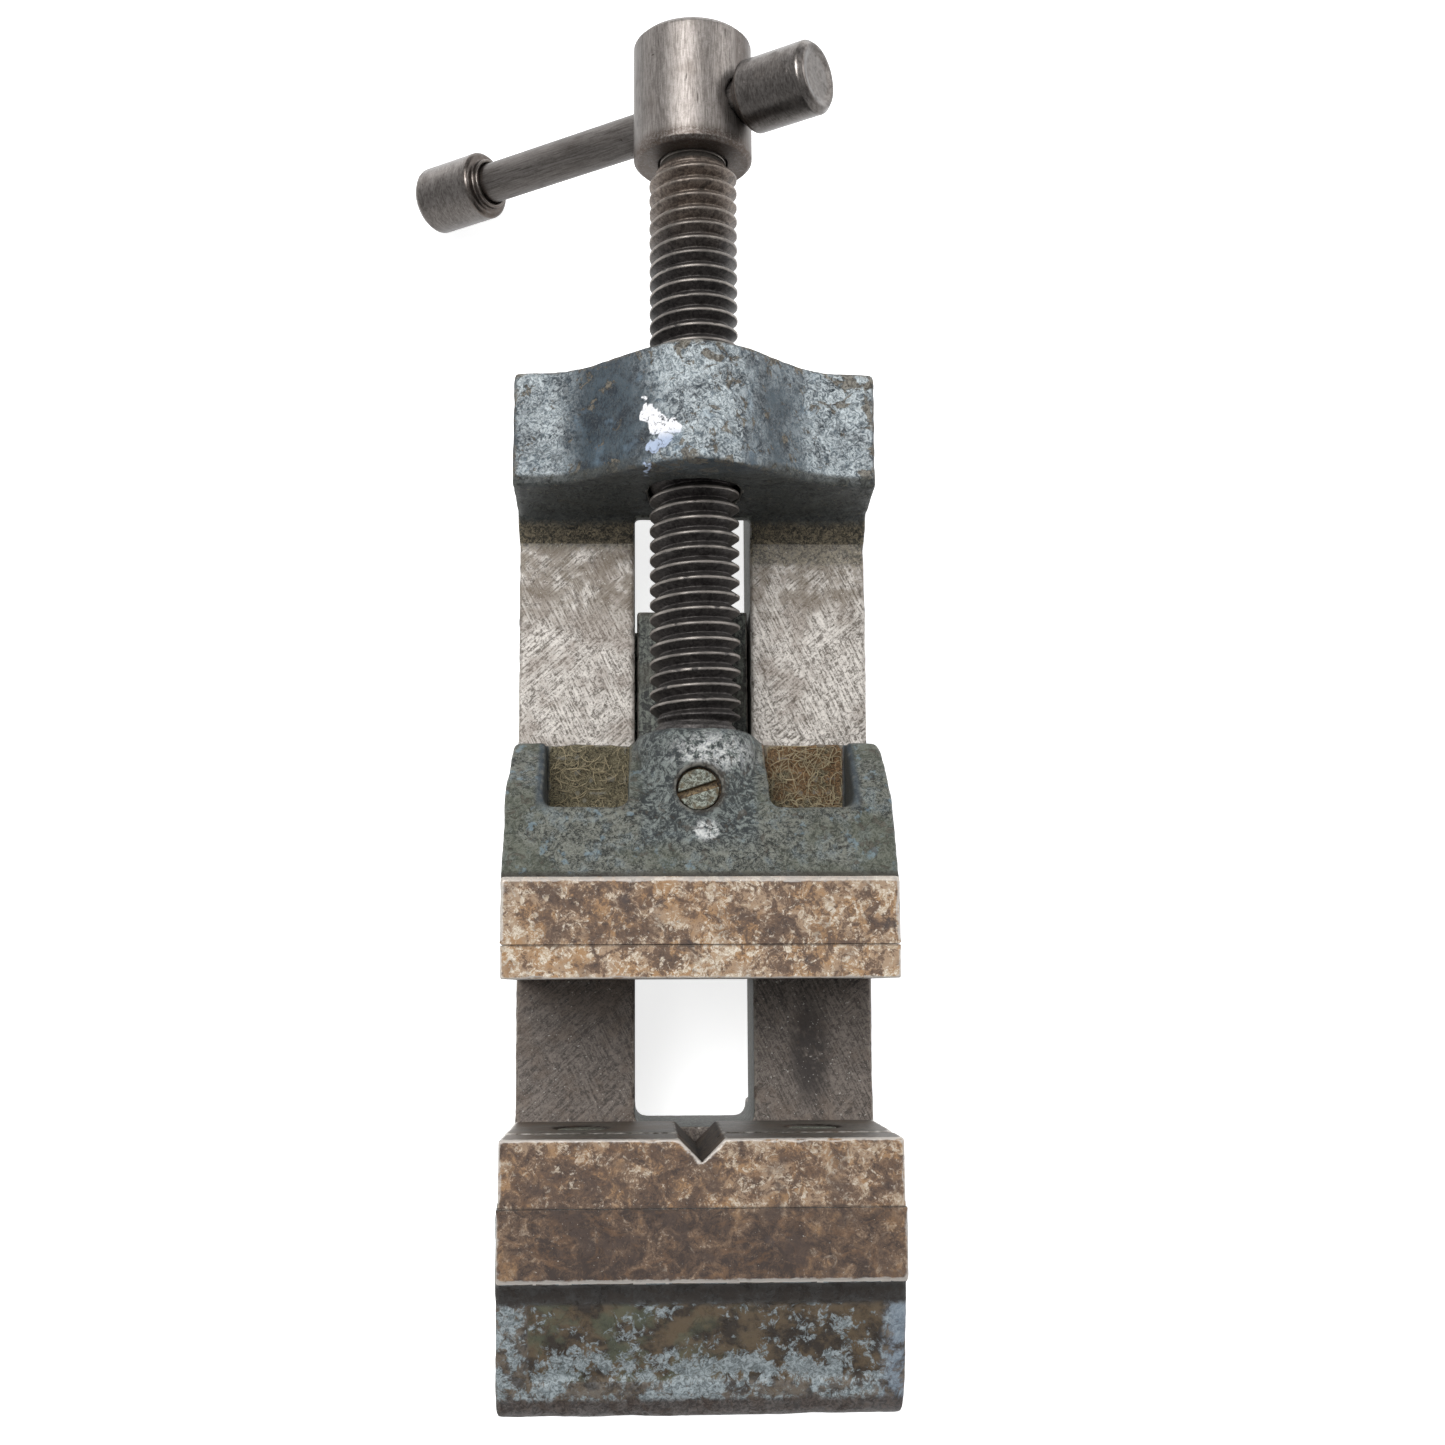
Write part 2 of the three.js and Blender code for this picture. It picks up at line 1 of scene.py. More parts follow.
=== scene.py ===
"""Looks of a small, well-used bench vise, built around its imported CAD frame.

Castings, jaw plates and screws are refined from their CAD nodes: each surface is meshed finely
and evenly, machined faces stay where they are, and cast skin, worn edges and dents are worked
into it. Spindle, handle bar and caps are turned in code. Lengths on the vise are in millimetres,
and are scaled to metres when a mesh is made. Floor, lights and clipping are in metres.
"""

import itertools
import math

import bmesh
import bpy
import numpy as np
from mathutils import Matrix, Vector


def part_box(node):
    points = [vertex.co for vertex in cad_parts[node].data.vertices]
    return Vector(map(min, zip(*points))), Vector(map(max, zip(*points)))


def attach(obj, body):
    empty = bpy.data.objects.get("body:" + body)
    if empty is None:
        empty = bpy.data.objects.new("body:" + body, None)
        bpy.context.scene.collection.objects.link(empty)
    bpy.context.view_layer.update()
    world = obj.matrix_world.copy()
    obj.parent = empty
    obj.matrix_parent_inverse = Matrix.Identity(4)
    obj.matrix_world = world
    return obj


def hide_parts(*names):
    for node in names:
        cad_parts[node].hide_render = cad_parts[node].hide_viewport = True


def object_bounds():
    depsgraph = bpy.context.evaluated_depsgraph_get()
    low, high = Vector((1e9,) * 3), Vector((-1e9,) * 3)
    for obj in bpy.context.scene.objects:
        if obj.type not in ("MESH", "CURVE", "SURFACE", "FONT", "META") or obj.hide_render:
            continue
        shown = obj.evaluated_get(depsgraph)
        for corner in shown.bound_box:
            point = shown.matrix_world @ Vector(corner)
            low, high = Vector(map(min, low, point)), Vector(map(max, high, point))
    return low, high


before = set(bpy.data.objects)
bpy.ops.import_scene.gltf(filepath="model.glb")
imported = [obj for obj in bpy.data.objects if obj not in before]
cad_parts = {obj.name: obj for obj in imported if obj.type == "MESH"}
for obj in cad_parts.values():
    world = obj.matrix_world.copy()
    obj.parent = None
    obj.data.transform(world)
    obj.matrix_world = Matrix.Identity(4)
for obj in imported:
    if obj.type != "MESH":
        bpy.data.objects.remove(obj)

CAD_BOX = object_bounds()
MM = 0.001


def middle_of(node, axis):
    """The middle of a CAD node along an axis: 0 is x, 1 is y and 2 is z."""
    low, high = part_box(node)
    return round((low[axis] + high[axis]) / 2 / MM, 2)


# Places and sizes on the vise, from the frame where a node's box gives them and else as in the CAD.
JAW_TOP = round(CAD_BOX[1][2] / MM, 2)
AXIS_Z = middle_of("spindle_screw", 2)
RETAINER_Y = middle_of("spindle_retaining_screw", 1)
BAR_Y = middle_of("tommy_bar", 1)
WAYS_Z = 28.0
FIXED_SEAM, MOVING_SEAM = 0.15, 40.75
FIXED_BACK, MOVING_BACK = -11.2, 51.3
PLATE_GAP = 0.22
PLATE_SCREW_X, PLATE_SCREW_Z = 19.5, 42.6
BRIDGE_FOOT = 115.4
BRIDGE_BORE, JAW_BORE = 8.5, 7.0  # radii
PITCH, CREST, ROOT = 2.67, 7.94, 6.35
THREAD = (79.4, 181.2)
HEAD_RADIUS = round(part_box("spindle_head")[1][0] / MM, 2)
BAR_TILT = math.radians(35)
BAR_AXIS = (math.cos(BAR_TILT), 0.0, math.sin(BAR_TILT))
BAR_RADIUS = 3.75
BAR_STOPS = (-47.4, 11.1)
BAR_HOLE_RADIUS = 4.05
CAP_DEPTH = 11
SPINDLE = ((0, 0, AXIS_Z), (0, 1, 0))
BAR = ((0, BAR_Y, AXIS_Z), BAR_AXIS)

# The photograph's viewpoint: its place, and the turns from the vise's axes to its own.
CAMERA_PLACE = (-9.678, 34.4, 339.602)
CAMERA_TURNS = (("Z", 0.0004), ("Y", 0.0317), ("X", -0.1256))
CAMERA_LENS = 43.115
CAMERA_SHIFT = (0.0192, 0.0309)

FLOOR_HALF = 6.0
CENTRE = 0.01  # the radius at which a turned body closes on its axis
SEED_STEPS = (17.3, 9.1, 5.7)  # how far apart two noises of one material are taken


# ---------------------------------------------------------------- camera, floor and light


def add_camera():
    """Looks almost straight down on the vise, its handle end at the top."""
    data = bpy.data.cameras.new("camera")
    data.sensor_width = 36
    data.lens = CAMERA_LENS
    data.shift_x, data.shift_y = CAMERA_SHIFT
    data.clip_start, data.clip_end = 0.01, 20
    camera = bpy.data.objects.new("camera", data)
    bpy.context.scene.collection.objects.link(camera)
    to_camera = Matrix.Identity(3)
    for axis, angle in CAMERA_TURNS:
        to_camera = to_camera @ Matrix.Rotation(angle, 3, axis)
    place = to_camera.transposed().to_4x4()
    place.translation = Vector(CAMERA_PLACE) * MM
    camera.matrix_world = place
    bpy.context.scene.camera = camera


def add_floor():
    """A plain pale sheet under the vise, large enough for every view."""
    mesh = bpy.data.meshes.new("floor")
    corners = [(FLOOR_HALF * x, FLOOR_HALF * y, 0) for x, y in ((-1, -1), (1, -1), (1, 1), (-1, 1))]
    mesh.from_pydata(corners, [], [(0, 1, 2, 3)])
    floor = bpy.data.objects.new("floor", mesh)
    bpy.context.scene.collection.objects.link(floor)
    material = bpy.data.materials.new("floor")
    material.use_nodes = True
    inputs = material.node_tree.nodes["Principled BSDF"].inputs
    for socket, value in (
        ("Base Color", (0.93, 0.93, 0.93, 1)),
        ("Roughness", 0.9),
        ("Specular IOR Level", 0.1),
        ("Emission Color", (1, 1, 1, 1)),
        ("Emission Strength", 0.77),
    ):
        inputs[socket].default_value = value
    mesh.materials.append(material)


def add_softbox(name, place, aim, size, watts):
    data = bpy.data.lights.new(name, "AREA")
    data.shape = "RECTANGLE"
    data.size, data.size_y = size
    data.energy = watts
    lamp = bpy.data.objects.new(name, data)
    bpy.context.scene.collection.objects.link(lamp)
    lamp.location = place
    lamp.rotation_euler = (Vector(aim) - Vector(place)).to_track_quat("-Z", "Y").to_euler()


def add_light():
    """A pale dome, brightest at the horizon, a broad overhead box and a weaker side one."""
    world = bpy.data.worlds.new("studio")
    world.use_nodes = True
    nodes, links = world.node_tree.nodes, world.node_tree.links
    background = nodes["Background"]
    background.inputs["Color"].default_value = (0.96, 0.98, 1.0, 1)
    height = nodes.new("ShaderNodeSeparateXYZ")
    links.new(nodes.new("ShaderNodeTexCoord").outputs["Generated"], height.inputs[0])
    strength = nodes.new("ShaderNodeMapRange")
    strength.interpolation_type = "SMOOTHSTEP"
    links.new(height.outputs[2], strength.inputs["Value"])
    for socket, value in (("From Min", 0.06), ("From Max", 0.3), ("To Min", 0.95), ("To Max", 0.28)):
        strength.inputs[socket].default_value = value
    links.new(strength.outputs["Result"], background.inputs["Strength"])
    bpy.context.scene.world = world
    bpy.context.scene.view_settings.view_transform = "Standard"
    add_softbox("overhead", (-0.3, 0.4, 1.1), (0, 0.05, 0), (0.7, 0.7), 11.5)
    add_softbox("side", (0.9, 0.5, 0.6), (0, 0.08, 0), (0.5, 0.5), 3)


# ---------------------------------------------------------------- meshes


def lattice_noise(points, size, seed):
    """Smooth noise in -1..1 whose features are about size across."""
    table = np.random.default_rng(seed).uniform(-1, 1, (32, 32, 32))
    scaled = points / size + 1000
    cell = np.floor(scaled).astype(int)
    part = scaled - cell
    part = part * part * (3 - 2 * part)
    total = np.zeros(len(points))
    for corner in itertools.product((0, 1), repeat=3):
        weight = np.prod(np.where(corner, part, 1 - part), axis=1)
        index = (cell + corner) % 32
        total += weight * table[index[:, 0], index[:, 1], index[:, 2]]
    return total


def smoothstep(value, low, high):
    t = np.clip((value - low) / (high - low), 0, 1)
    return t * t * (3 - 2 * t)


def between(value, low, high, soft):
    """1 where value lies from low to high, falling to 0 over soft on either side."""
    return smoothstep(value, low - soft, low) * (1 - smoothstep(value, high, high + soft))


def read(items, key, width, kind=np.float32):
    """One property of a mesh's vertices, edges or faces as an array of rows."""
    flat = np.empty(len(items) * width, kind)
    items.foreach_get(key, flat)
    return flat.reshape(-1, width)


class Skin:
    """The vertices of a fine mesh as arrays in millimetres, with its normals and edges."""

    def __init__(self, mesh):
        self.mesh = mesh
        self.co = read(mesh.vertices, "co", 3).astype(float) / MM
        self.ends = read(mesh.edges, "vertices", 2, np.int32)
        self.degree = np.maximum(np.bincount(self.ends.ravel(), minlength=len(self.co)), 1)
        self.read_normals()

    def read_normals(self):
        self.normal = read(self.mesh.vertices, "normal", 3).astype(float)

    def mean(self, values):
        """Each vertex's average over its neighbours."""
        a, b = self.ends[:, 0], self.ends[:, 1]
        count = len(self.co)
        columns = [
            np.bincount(a, column[b], count) + np.bincount(b, column[a], count)
            for column in np.atleast_2d(values.T)
        ]
        found = np.array(columns).T / self.degree[:, None]
        return found if values.ndim == 2 else found[:, 0]

    def blurred(self, values, rounds, amount=0.5, weight=None):
        for _ in range(rounds):
            step = amount * (self.mean(values) - values)
            if weight is not None:
                step = step * (weight[:, None] if values.ndim == 2 else weight)
            values = values + step
        return values

    def eased(self, rounds, weight):
        """Rounds sharp edges off without shrinking the body."""
        for _ in range(rounds):
            self.co = self.blurred(self.co, 1, 0.55, weight)
            self.co = self.blurred(self.co, 1, -0.57, weight)

    def write(self):
        self.mesh.vertices.foreach_set("co", (self.co * MM).astype(np.float32).ravel())
        self.mesh.update()
        self.read_normals()

    def store(self, name, values):
        attribute = self.mesh.attributes.new(name, "FLOAT", "POINT")
        attribute.data.foreach_set("value", values.astype(np.float32))

    def store_relief(self):
        """edge: how far a vertex stands out from its near surroundings; swell: from its wider ones."""
        near = self.blurred(self.co, 4)
        far = self.blurred(near, 40)
        self.store("edge", np.einsum("ij,ij->i", self.co - near, self.normal))
        self.store("swell", np.einsum("ij,ij->i", self.co - far, self.normal))


def new_piece(name, mesh, materials, body, slot, *nodes):
    """A smooth-shaded piece that rides on a body and stands for the given CAD nodes."""
    piece = bpy.data.objects.new(name, mesh)
    for material in materials:
        mesh.materials.append(material)
    bpy.context.scene.collection.objects.link(piece)
    mesh.shade_smooth()
    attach(piece, body)
    if nodes:
        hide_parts(*nodes)
    return piece


def fine_mesh(node, voxel):
    """An even mesh of a CAD node, its vertices laid back onto the node's surface."""
    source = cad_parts[node]
    whole = bmesh.new()
    whole.from_mesh(source.data)
    bmesh.ops.remove_doubles(whole, verts=whole.verts, dist=1e-6)
    joined = bpy.data.meshes.new(node + "_joined")
    whole.to_mesh(joined)
    whole.free()
    work = bpy.data.objects.new(node + "_work", joined)
    bpy.context.scene.collection.objects.link(work)
    remesh = work.modifiers.new("even", "REMESH")
    remesh.mode = "VOXEL"
    remesh.voxel_size = voxel * MM
    snap = work.modifiers.new("snap", "SHRINKWRAP")
    snap.wrap_method = "NEAREST_SURFACEPOINT"
    snap.target = source
    bpy.context.view_layer.update()
    graph = bpy.context.evaluated_depsgraph_get()
    mesh = bpy.data.meshes.new_from_object(work.evaluated_get(graph))
    bpy.data.objects.remove(work)
    bpy.data.meshes.remove(joined)
    return mesh


def from_seam(y):
    """Distance to the nearer of the two seams between a jaw plate and its casting."""
    return np.minimum(np.abs(y - FIXED_SEAM), np.abs(y - MOVING_SEAM))


def nick_edges(skin, depth, seed, where=1.0):
    """Wears sharp outer edges back unevenly, but not where a jaw plate meets its casting."""
    where = where * smoothstep(from_seam(skin.co[:, 1]), 0.6, 1.2)
    edge = np.einsum("ij,ij->i", skin.co - skin.blurred(skin.co, 3), skin.normal)
    sharp = smoothstep(edge, 0.02, 0.14)
    bites = smoothstep(lattice_noise(skin.co, 2.6, seed), 0.1, 0.8)
    bites = bites + 0.35 * smoothstep(lattice_noise(skin.co, 0.9, seed + 1), 0.0, 0.8)
    skin.co = skin.co - skin.normal * (sharp * where * depth * (0.3 + bites))[:, None]


def square_seams(co):
    """Brings the top edges where a jaw plate meets its casting back up to the machined top."""
    co[(from_seam(co[:, 1]) < 0.75) & (co[:, 2] > JAW_TOP - 0.5), 2] = JAW_TOP - 0.01


def paint_zones(mesh, rules):
    """Gives each face the material of the first rule that holds for its centre's x, y and z and how
    far it faces up, and the last material where none does."""
    centre = read(mesh.polygons, "center", 3) / MM
    up = read(mesh.polygons, "normal", 3)[:, 2]
    zone = np.full(len(centre), len(rules), np.int32)
    for index in reversed(range(len(rules))):
        zone[rules[index](*centre.T, up)] = index
    mesh.polygons.foreach_set("material_index", zone)


def turned_mesh(name, stations, segments, line, wobble=None):
    """A closed body turned about a line, given by a point and a direction.

    Its stations are (radius, distance along the line) in order, and wobble(angle, distance) gives
    how far the surface stands out from its radius there."""
    origin, axis = np.array(line[0]), Vector(line[1]).normalized()
    side = axis.orthogonal().normalized() if abs(axis.y) < 0.9 else Vector((1, 0, 0))
    third = axis.cross(side)
    turn = np.linspace(0, 2 * math.pi, segments, endpoint=False)
    axis, side, third = (np.array(direction) for direction in (axis, side, third))
    radius, along = np.array(stations).T[..., None]
    if wobble is not None:
        radius = radius + wobble(turn[None, :], along)
    across, up = radius * np.cos(turn), radius * np.sin(turn)
    rings = origin + along[..., None] * axis + across[..., None] * side + up[..., None] * third
    ends = [origin + stations[k][1] * axis for k in (0, -1)]
    points = np.vstack([rings.reshape(-1, 3), *ends])
    count = len(stations) * segments
    grid = np.arange(count).reshape(-1, segments)
    after = np.roll(grid, -1, axis=1)
    quads = np.stack([grid[:-1], after[:-1], after[1:], grid[1:]], -1).reshape(-1, 4)
    fans = [(count, b, a) for a, b in zip(grid[0], after[0])]
    fans += [(count + 1, a, b) for a, b in zip(grid[-1], after[-1])]
    mesh = bpy.data.meshes.new(name)
    mesh.from_pydata((points * MM).tolist(), [], quads.tolist() + fans)
    mesh.validate()
    return mesh


def rounded(profile, reach=0.25, steps=3):
    """A profile of (radius, distance) points with each corner replaced by a short curve."""
    points = [np.array(p, float) for p in profile]
    found = [points[0]]
    for before, corner, after in zip(points, points[1:], points[2:]):
        a = corner + (before - corner) * min(0.45, reach / np.linalg.norm(before - corner))
        b = corner + (after - corner) * min(0.45, reach / np.linalg.norm(after - corner))
        for t in np.linspace(0, 1, steps + 1):
            found.append((1 - t) ** 2 * a + 2 * t * (1 - t) * corner + t * t * b)
    found.append(points[-1])
    return [tuple(p) for p in found]


def densified(profile, step):
    """The same profile with no two neighbours further apart than step."""
    found = [profile[0]]
    for a, b in zip(profile, profile[1:]):
        a, b = np.array(a, float), np.array(b, float)
        parts = max(1, math.ceil(np.linalg.norm(b - a) / step))
        found += [tuple(a + (b - a) * k / parts) for k in range(1, parts + 1)]
    return found


# ---------------------------------------------------------------- materials


def srgb(red, green, blue):
    """A colour of 0..255 values as linear numbers."""
    part = [v / 255 for v in (red, green, blue)]
    return tuple(v / 12.92 if v <= 0.04045 else ((v + 0.055) / 1.055) ** 2.4 for v in part) + (1,)


class Signal:
    """A number or colour in a Finish's node tree. Arithmetic on it adds math nodes."""

    def __init__(self, finish, socket):
        self.finish, self.socket = finish, socket

    def __add__(self, other):
        return self.finish.math("ADD", self, other)

    def __sub__(self, other):
        return self.finish.math("SUBTRACT", self, other)

    def __rsub__(self, other):
        return self.finish.math("SUBTRACT", other, self)

    def __mul__(self, other):
        return self.finish.math("MULTIPLY", self, other)

    def __abs__(self):
        return self.finish.math("ABSOLUTE", self)


class Finish:
    """A node material under construction. Positions are in millimetres in the vise's own frame."""

    def __init__(self, name):
        self.material = bpy.data.materials.new(name)
        self.material.use_nodes = True
        self.tree = self.material.node_tree
        self.shader = self.tree.nodes["Principled BSDF"]
        self.seed = 0
        self.colour = None
        place = self.node("ShaderNodeTexCoord").outputs["Object"]
        scale = self.node("ShaderNodeVectorMath", operation="SCALE")
        self.tree.links.new(place, scale.inputs[0])
        scale.inputs["Scale"].default_value = 1 / MM
        self.place = scale.outputs[0]
        parts = self.node("ShaderNodeSeparateXYZ")
        self.tree.links.new(self.place, parts.inputs[0])
        self.x, self.y, self.z = (Signal(self, socket) for socket in parts.outputs)

    def node(self, kind, **settings):
        made = self.tree.nodes.new(kind)
        for key, value in settings.items():
            setattr(made, key, value)
        return made

    def fill(self, node, values, output=0):
        """Sets or links a node's inputs from a table of values and gives one of its outputs."""
        for key, value in values.items():
            if isinstance(value, Signal):
                self.tree.links.new(value.socket, node.inputs[key])
            else:
                node.inputs[key].default_value = value
        return Signal(self, node.outputs[output])

    def math(self, operation, a, b=0.0, clamp=False):
        return self.fill(self.node("ShaderNodeMath", operation=operation, use_clamp=clamp), {0: a, 1: b})

    def most(self, a, b):
        return self.math("MAXIMUM", a, b)

    def nearer(self, a, b):
        """Distance along y to the nearer of two places."""
        return self.math("MINIMUM", abs(self.y - a), abs(self.y - b))

    def distance(self, dx, dy):
        return self.math("SQRT", dx * dx + dy * dy)

    def rise(self, value, low, high):
        """0 at low, 1 at high, smooth between them and level beyond. low may be above high."""
        if low > high:
            return 1 - self.rise(value, high, low)
        made = self.node("ShaderNodeMapRange", interpolation_type="SMOOTHSTEP")
        return self.fill(made, {"Value": value, "From Min": low, "From Max": high}, "Result")

    def band(self, value, low, high, soft):
        return self.rise(value, low - soft, low) * self.rise(value, high + soft, high)

    def attribute(self, name):
        return Signal(self, self.node("ShaderNodeAttribute", attribute_name=name).outputs["Fac"])

    def rims(self, uneven, amount, low, high):
        """1 on outer edges that stand out by more than high, made ragged by a noise."""
        return self.rise(self.attribute("edge") + (uneven - 0.5) * amount, low, high)

    def facing_up(self):
        """How far the surface faces up, from -1 to 1."""
        parts = self.node("ShaderNodeSeparateXYZ")
        coordinates = self.node("ShaderNodeTexCoord")
        self.tree.links.new(coordinates.outputs["Normal"], parts.inputs[0])
        return Signal(self, parts.outputs[2])

    def spot(self, x, y, radius, soft, stretch=(1, 1)):
        """1 inside a round or oval patch seen from above, falling to 0 over soft."""
        dx = (self.x - x) * (1 / stretch[0])
        dy = (self.y - y) * (1 / stretch[1])
        return self.rise(self.distance(dx, dy), radius + soft, radius)

    def stroke(self, x, y, start, end, radius, soft):
        """1 on a straight brush stroke seen from above, from start to end, for positions x, y."""
        along = (end[0] - start[0], end[1] - start[1])
        length = along[0] ** 2 + along[1] ** 2
        dx, dy = x - start[0], y - start[1]
        t = dx * (along[0] / length) + dy * (along[1] / length)
        t = self.math("MULTIPLY", t, 1.0, clamp=True)
        dx, dy = dx - t * along[0], dy - t * along[1]
        return self.rise(self.distance(dx, dy), radius + soft, radius)

    def stretched(self, stretch, turn=(0, 0, 0)):
        """Positions turned by Euler angles and then divided by stretch, axis by axis."""
        rotate = self.node("ShaderNodeMapping")
        self.tree.links.new(self.place, rotate.inputs["Vector"])
        rotate.inputs["Rotation"].default_value = turn
        resize = self.node("ShaderNodeMapping")
        self.tree.links.new(rotate.outputs[0], resize.inputs["Vector"])
        self.seed += 1
        resize.inputs["Location"].default_value = [self.seed * step for step in SEED_STEPS]
        resize.inputs["Scale"].default_value = [1 / s for s in stretch]
        return Signal(self, resize.outputs[0])

    def noise(self, size, detail=4.0, roughness=0.55, stretch=(1, 1, 1), turn=(0, 0, 0), warp=0.0):
        """Noise around 0.5 whose largest features are about size millimetres across."""
        made = self.node("ShaderNodeTexNoise")
        values = {"Vector": self.stretched(stretch, turn), "Scale": 1 / size, "Detail": detail}
        return self.fill(made, values | {"Roughness": roughness, "Distortion": warp}, "Fac")

    def cells(self, size):
        """Distance to the nearest of scattered points, in cell sizes."""
        made = self.node("ShaderNodeTexVoronoi")
        return self.fill(made, {"Vector": self.stretched((1, 1, 1)), "Scale": 1 / size}, "Distance")

    def mix(self, share, a, b):
        """Colour a where share is 0 and b where it is 1. A plain colour is given as 0..255 values."""
        a, b = (srgb(*value) if isinstance(value, tuple) else value for value in (a, b))
        return self.fill(self.node("ShaderNodeMix", data_type="RGBA"), {0: share, 6: a, 7: b}, 2)

    def span(self, value, low, high, a, b):
        """Colour running smoothly from a to b as value goes from low to high."""
        return self.mix(self.rise(value, low, high), a, b)

    def coat(self, share, colour):
        """Lays a colour over the surface's own, as thickly as share says."""
        self.colour = self.mix(share, self.colour, colour)

    def blend(self, share, a, b):
        """Number a where share is 0 and b where it is 1."""
        return self.fill(self.node("ShaderNodeMix", data_type="FLOAT"), {0: share, 2: a, 3: b})

    def shade(self, amount):
        """Multiplies the surface's colour by a number."""
        made = self.node("ShaderNodeVectorMath", operation="SCALE")
        self.colour = self.fill(made, {0: self.colour, "Scale": amount})

    def done(self, roughness, metal, relief, depth, gloss=0.5):
        """Sets the shader; relief is a height of 0..1 that stands for depth millimetres."""
        values = {"Specular IOR Level": gloss, "Base Color": self.colour, "Roughness": roughness}
        self.fill(self.shader, values | {"Metallic": metal})
        bump = self.node("ShaderNodeBump")
        normal = self.fill(bump, {"Strength": 1.0, "Distance": depth * MM, "Height": relief})
        self.fill(self.shader, {"Normal": normal})
        return self.material


def rubbed_and_lit_blue(f, up, fine, grain, middle, broad):
    """Deep blue paint, paler where it faces up: rubbed there, and partly a painted light on the top
    faces. The crown's two flanks are kept deep blue as painted shade. Gives how far it is paled.
    """
    deep = f.span(middle * 0.6 + grain * 0.4, 0.4, 0.6, (24, 33, 42), (64, 77, 86))
    pale = f.span(fine, 0.38, 0.6, (130, 141, 146), (202, 210, 213))
    # Paler where it faces up: rubbed paint, and partly a painted light on the top faces.
    rubbed = f.rise(up, 0.5, 0.97) + (broad - 0.5) * 1.8
    rubbed = rubbed * f.rise(fine + middle * 0.7, 0.62, 1.0)
    # Painted shade: the crown's two flanks are kept deep blue.
    left_flank = f.spot(-15.5, 129, 3.0, 7.5, (1, 3))
    right_flank = f.spot(15.0, 128, 1.5, 6.0, (1, 3))
    flank_shade = f.most(left_flank, right_flank * 0.6)
    rubbed = f.math("MULTIPLY", rubbed, 1 - flank_shade, clamp=True)
    f.colour = f.mix(rubbed, deep, pale)
    worms = f.rise(f.noise(0.8, 5, 0.7, warp=2.2), 0.5, 0.42)
    f.coat(worms * 0.42, (84, 88, 88))
    blush = f.rise(f.noise(5.5, 4, 0.6), 0.58, 0.7)
    f.coat(blush * 0.35, (112, 134, 152))
    return rubbed


def chipped(f, fine, broad):
    """Brown iron in chips and along the edges. Gives where it is bare."""
    near_edges = f.most(
        f.rise(abs(f.x), 27, 31.5), f.most(f.rise(f.y, 137, 141), f.rise(f.y, 125.5, 122))
    )
    crown = f.spot(5.0, 129, 4, 6, (1, 1.8)) * 0.05
    chips = f.noise(3.0, 6, 0.7, warp=0.5) + (broad - 0.5) * 0.35
    chips = f.rise(chips + f.most(crown, near_edges * 0.05), 0.585, 0.625)
    rims = f.rims(f.noise(1.6, 5, 0.65), 0.2, 0.05, 0.12)
    bare = f.most(chips, rims * 0.8)
    f.coat(bare * 0.85, f.span(fine, 0.4, 0.6, (74, 68, 60), (124, 116, 102)))
    return bare


def weathered_nose(f, up, fine, middle):
    """Patchy iron and pale paint on the block in front of the fixed jaw, with dirt in its panel and
    painted shade in the cove under the jaw's machined top.

    Gives where that block is and how patchy it is."""
    nose = f.rise(f.y, 4, -2)
    patches = f.noise(1.5, 6, 0.72, (1, 1.4, 1), warp=0.8) * 0.6 + f.noise(4.5, 4, 0.6) * 0.5
    iron = f.span(f.noise(2.4, 5, 0.65), 0.4, 0.6, (62, 54, 48), (106, 94, 80))
    sky = f.span(fine, 0.38, 0.62, (98, 106, 108), (166, 176, 180))
    worn = f.span(patches, 0.515, 0.595, iron, sky)
    sides = f.rise(up, 0.4, 0.1) * (f.rise(f.z, 62, 40) * 0.4)
    f.coat(f.most(nose * f.blend(f.rise(up, 0.1, 0.4), 0.55, 0.9), sides), worn)
    panel = f.band(f.x, -27.0, 28.2, 1.0) * (f.band(f.y, -27.8, -15.2, 1.0) * nose)
    ragged = f.rise(panel + (patches - 0.55) * 1.2, 0.35, 0.65)
    dirt = f.span(middle, 0.4, 0.6, (54, 47, 41), (98, 84, 66))
    moss = f.rise(f.noise(5, 4, 0.6), 0.46, 0.6) * f.rise(f.x, 12, -8)
    dirt = f.mix(moss * 0.6, dirt, (90, 96, 78))
    low = f.rise(f.y, -20, -27) * 0.08
    flecks = f.rise(patches + low, 0.585, 0.645)
    dirt = f.mix(flecks * 0.9, dirt, sky)
    f.coat(ragged * panel, dirt)
    flare = nose * (f.rise(f.y, -14, -16) * f.rise(f.x, 27.5, 31))
    f.coat(flare * (f.rise(patches, 0.46, 0.56) * 0.6), (122, 136, 152))
    brow = f.rise(f.y + (patches - 0.5) * 1.5, -30.4, -31.6) * f.rise(f.z, 38, 46)
    f.coat(brow * 0.92, f.span(fine, 0.4, 0.62, (50, 42, 39), (84, 74, 68)))
    # Painted shade in the cove under the fixed jaw's machined top.
    cove = f.band(f.y, -14.6, -10.5, 1.2) * f.band(f.z, 59, 62.5, 1.7)
    f.coat(cove * 0.95, f.mix(fine, (34, 30, 27), (56, 50, 46)))
    return nose, patches


